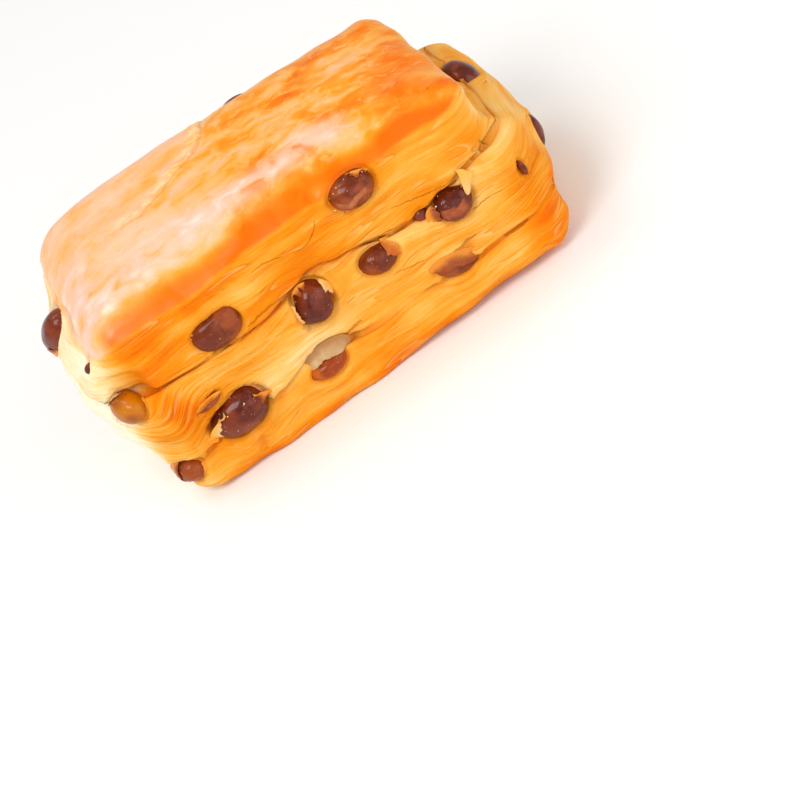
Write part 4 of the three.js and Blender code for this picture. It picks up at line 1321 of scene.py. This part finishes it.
def crust_marks(points, on_top):
    """Where the crust glows a deep orange, is pale, carries a painted highlight, shines and is creased."""
    x, y, z = points.T
    from_front = y + HALF_DEPTH
    uneven = noise(x * 0.1, y * 0.1, 0, 51)
    reach = 6.0 + 0.5 * ease((x + 34) / 12) * ease((40 - x) / 20)
    front_glow = ease((reach - from_front + 1.2 * uneven) / 4.5) * ease((x + 45) / 5)
    right_glow = 0.35 * ease((x - 24) / 22) + 0.6 * bump(x - 33, 9) * bump(y + 18, 7)
    back_glow = 0.8 * ease((44.4 + 1.8 * uneven - z) / 3.4) * ease(y / 6) * ease((x + 45) / 5)
    deepest = 0.35 * front_glow * bump(x - 32, 10)
    pale_from = 40.5 - 3 * ease((-x - 40) / 4)
    pale_left = ease((10 - x) / 34) * ease((z - pale_from) / 2)
    # where the painted highlight lies: along the front shoulder and at the left end
    sheen_middle = 7.6 + 3.2 * ease((x + 38) / 16)
    along_front = bump(from_front - sheen_middle - uneven, 3.4) * ease((24 - x) / 8)
    along_left = 0.8 * bump(x + 41, 4.5) * bump(y + 12, 16)
    away, side, along = from_top_crease(x, y)
    gloss = on_top * mix(0.35, 0.85, ease((8 - x) / 30)) * mix(0.6, 1, ease((6 - y) / 16))
    return {
        "glow": (np.maximum(np.maximum(front_glow, right_glow), back_glow) + deepest) * on_top,
        "pale": pale_left + 0.3 * bump(y - 18, 9) * ease((24 - x) / 20),
        "painted_sheen": np.maximum(along_front, along_left) * (1 - 0.8 * front_glow),
        "seam": np.clip(away, 0, 12) * side,
        "fading": ease((1.08 - along) / 0.3) * on_top,
        "gloss": gloss * (1 - 0.55 * front_glow),
    }


def add_loaf(shift):
    points, faces, vectors, marks = build_loaf()
    points = kept_in_box(points, shift)
    loaf = make_mesh("loaf", points, faces, dough_material(), shift)
    for name, values in {**marks, **crust_marks(points, marks["crust"]), **vectors}.items():
        add_values(loaf, name, values)
    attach(loaf, "root")
    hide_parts("bread")


# ---------------------------------------------------------------- stage, light and camera
PHOTO_SIZE = 800
CAMERA_TILT = 34.0  # below level
CAMERA_ROLL = 35.3  # the loaf's right end is up in the view
CAMERA_DISTANCE = 620.0
PIXELS_PER_MM = 4.93  # at the loaf's middle
LOAF_MIDDLE = np.array([0.0, 0.0, 22.0])
LOAF_MIDDLE_PIXEL = (297.7, 243.3)  # where that middle is in the photograph
SENSOR = 36.0
FLOOR_HALF = 1.5
FLOOR_DROP = 0.0001
WORLD_LIGHT = 0.6
# name, place, target, width and height, power
LIGHTS = [
    ("window_light", (-0.4, -0.42, 0.72), (0, 0, 0.02), (0.4, 0.4), 3.2),
    ("top_panel", (-0.24, 0.16, 0.8), (0, 0, 0.03), (0.3, 0.3), 1.0),
    ("front_fill", (0.25, -0.8, 0.3), (0, 0, 0.02), (0.9, 0.6), 1.9),
    ("right_fill", (0.7, -0.3, 0.4), (0, 0, 0.02), (0.5, 0.5), 1.1),
]


def add_camera(shift):
    tilt, roll = math.radians(CAMERA_TILT), math.radians(CAMERA_ROLL)
    forward = np.array([0, math.cos(tilt), -math.sin(tilt)])
    level = np.array([1.0, 0, 0])
    upright = np.cross(level, forward)
    right = math.cos(roll) * level - math.sin(roll) * upright
    up = math.sin(roll) * level + math.cos(roll) * upright
    focal = PIXELS_PER_MM * CAMERA_DISTANCE
    across = (LOAF_MIDDLE_PIXEL[0] - PHOTO_SIZE / 2) / focal * CAMERA_DISTANCE
    above = (PHOTO_SIZE / 2 - LOAF_MIDDLE_PIXEL[1]) / focal * CAMERA_DISTANCE
    place = LOAF_MIDDLE + shift - forward * CAMERA_DISTANCE - right * across - up * above
    data = bpy.data.cameras.new("camera")
    data.sensor_width = SENSOR
    data.lens = focal * SENSOR / PHOTO_SIZE
    data.clip_start = 0.01
    camera = bpy.data.objects.new("camera", data)
    bpy.context.scene.collection.objects.link(camera)
    rotation = np.eye(4)
    rotation[:3, 0], rotation[:3, 1], rotation[:3, 2] = right, up, -forward
    rotation[:3, 3] = place * MM
    camera.matrix_world = Matrix(rotation.tolist())
    bpy.context.scene.camera = camera


def add_area(name, place, target, size, power):
    data = bpy.data.lights.new(name, "AREA")
    data.shape = "RECTANGLE"
    data.size, data.size_y = size
    data.energy = power
    light = bpy.data.objects.new(name, data)
    light.location = place
    light.rotation_euler = (Vector(target) - Vector(place)).to_track_quat("-Z", "Y").to_euler()
    bpy.context.scene.collection.objects.link(light)


def add_stage():
    corners = np.array([[-1, -1, 0], [1, -1, 0], [1, 1, 0], [-1, 1, 0]]) * FLOOR_HALF / MM
    floor = make_mesh("floor", corners, [np.array([[0, 1, 2, 3]])], floor_material(), np.zeros(3))
    floor.location.z = -FLOOR_DROP
    for light in LIGHTS:
        add_area(*light)
    world = bpy.data.worlds.new("studio")
    world.use_nodes = True
    background = world.node_tree.nodes["Background"]
    background.inputs["Color"].default_value = (1, 1, 1, 1)
    background.inputs["Strength"].default_value = WORLD_LIGHT
    bpy.context.scene.world = world
    bpy.context.scene.view_settings.view_transform = "Standard"


SHIFT = frame_shift()
add_loaf(SHIFT)
add_beans(SHIFT)
add_films(SHIFT)
add_crumbs(SHIFT)
add_stage()
add_camera(SHIFT)
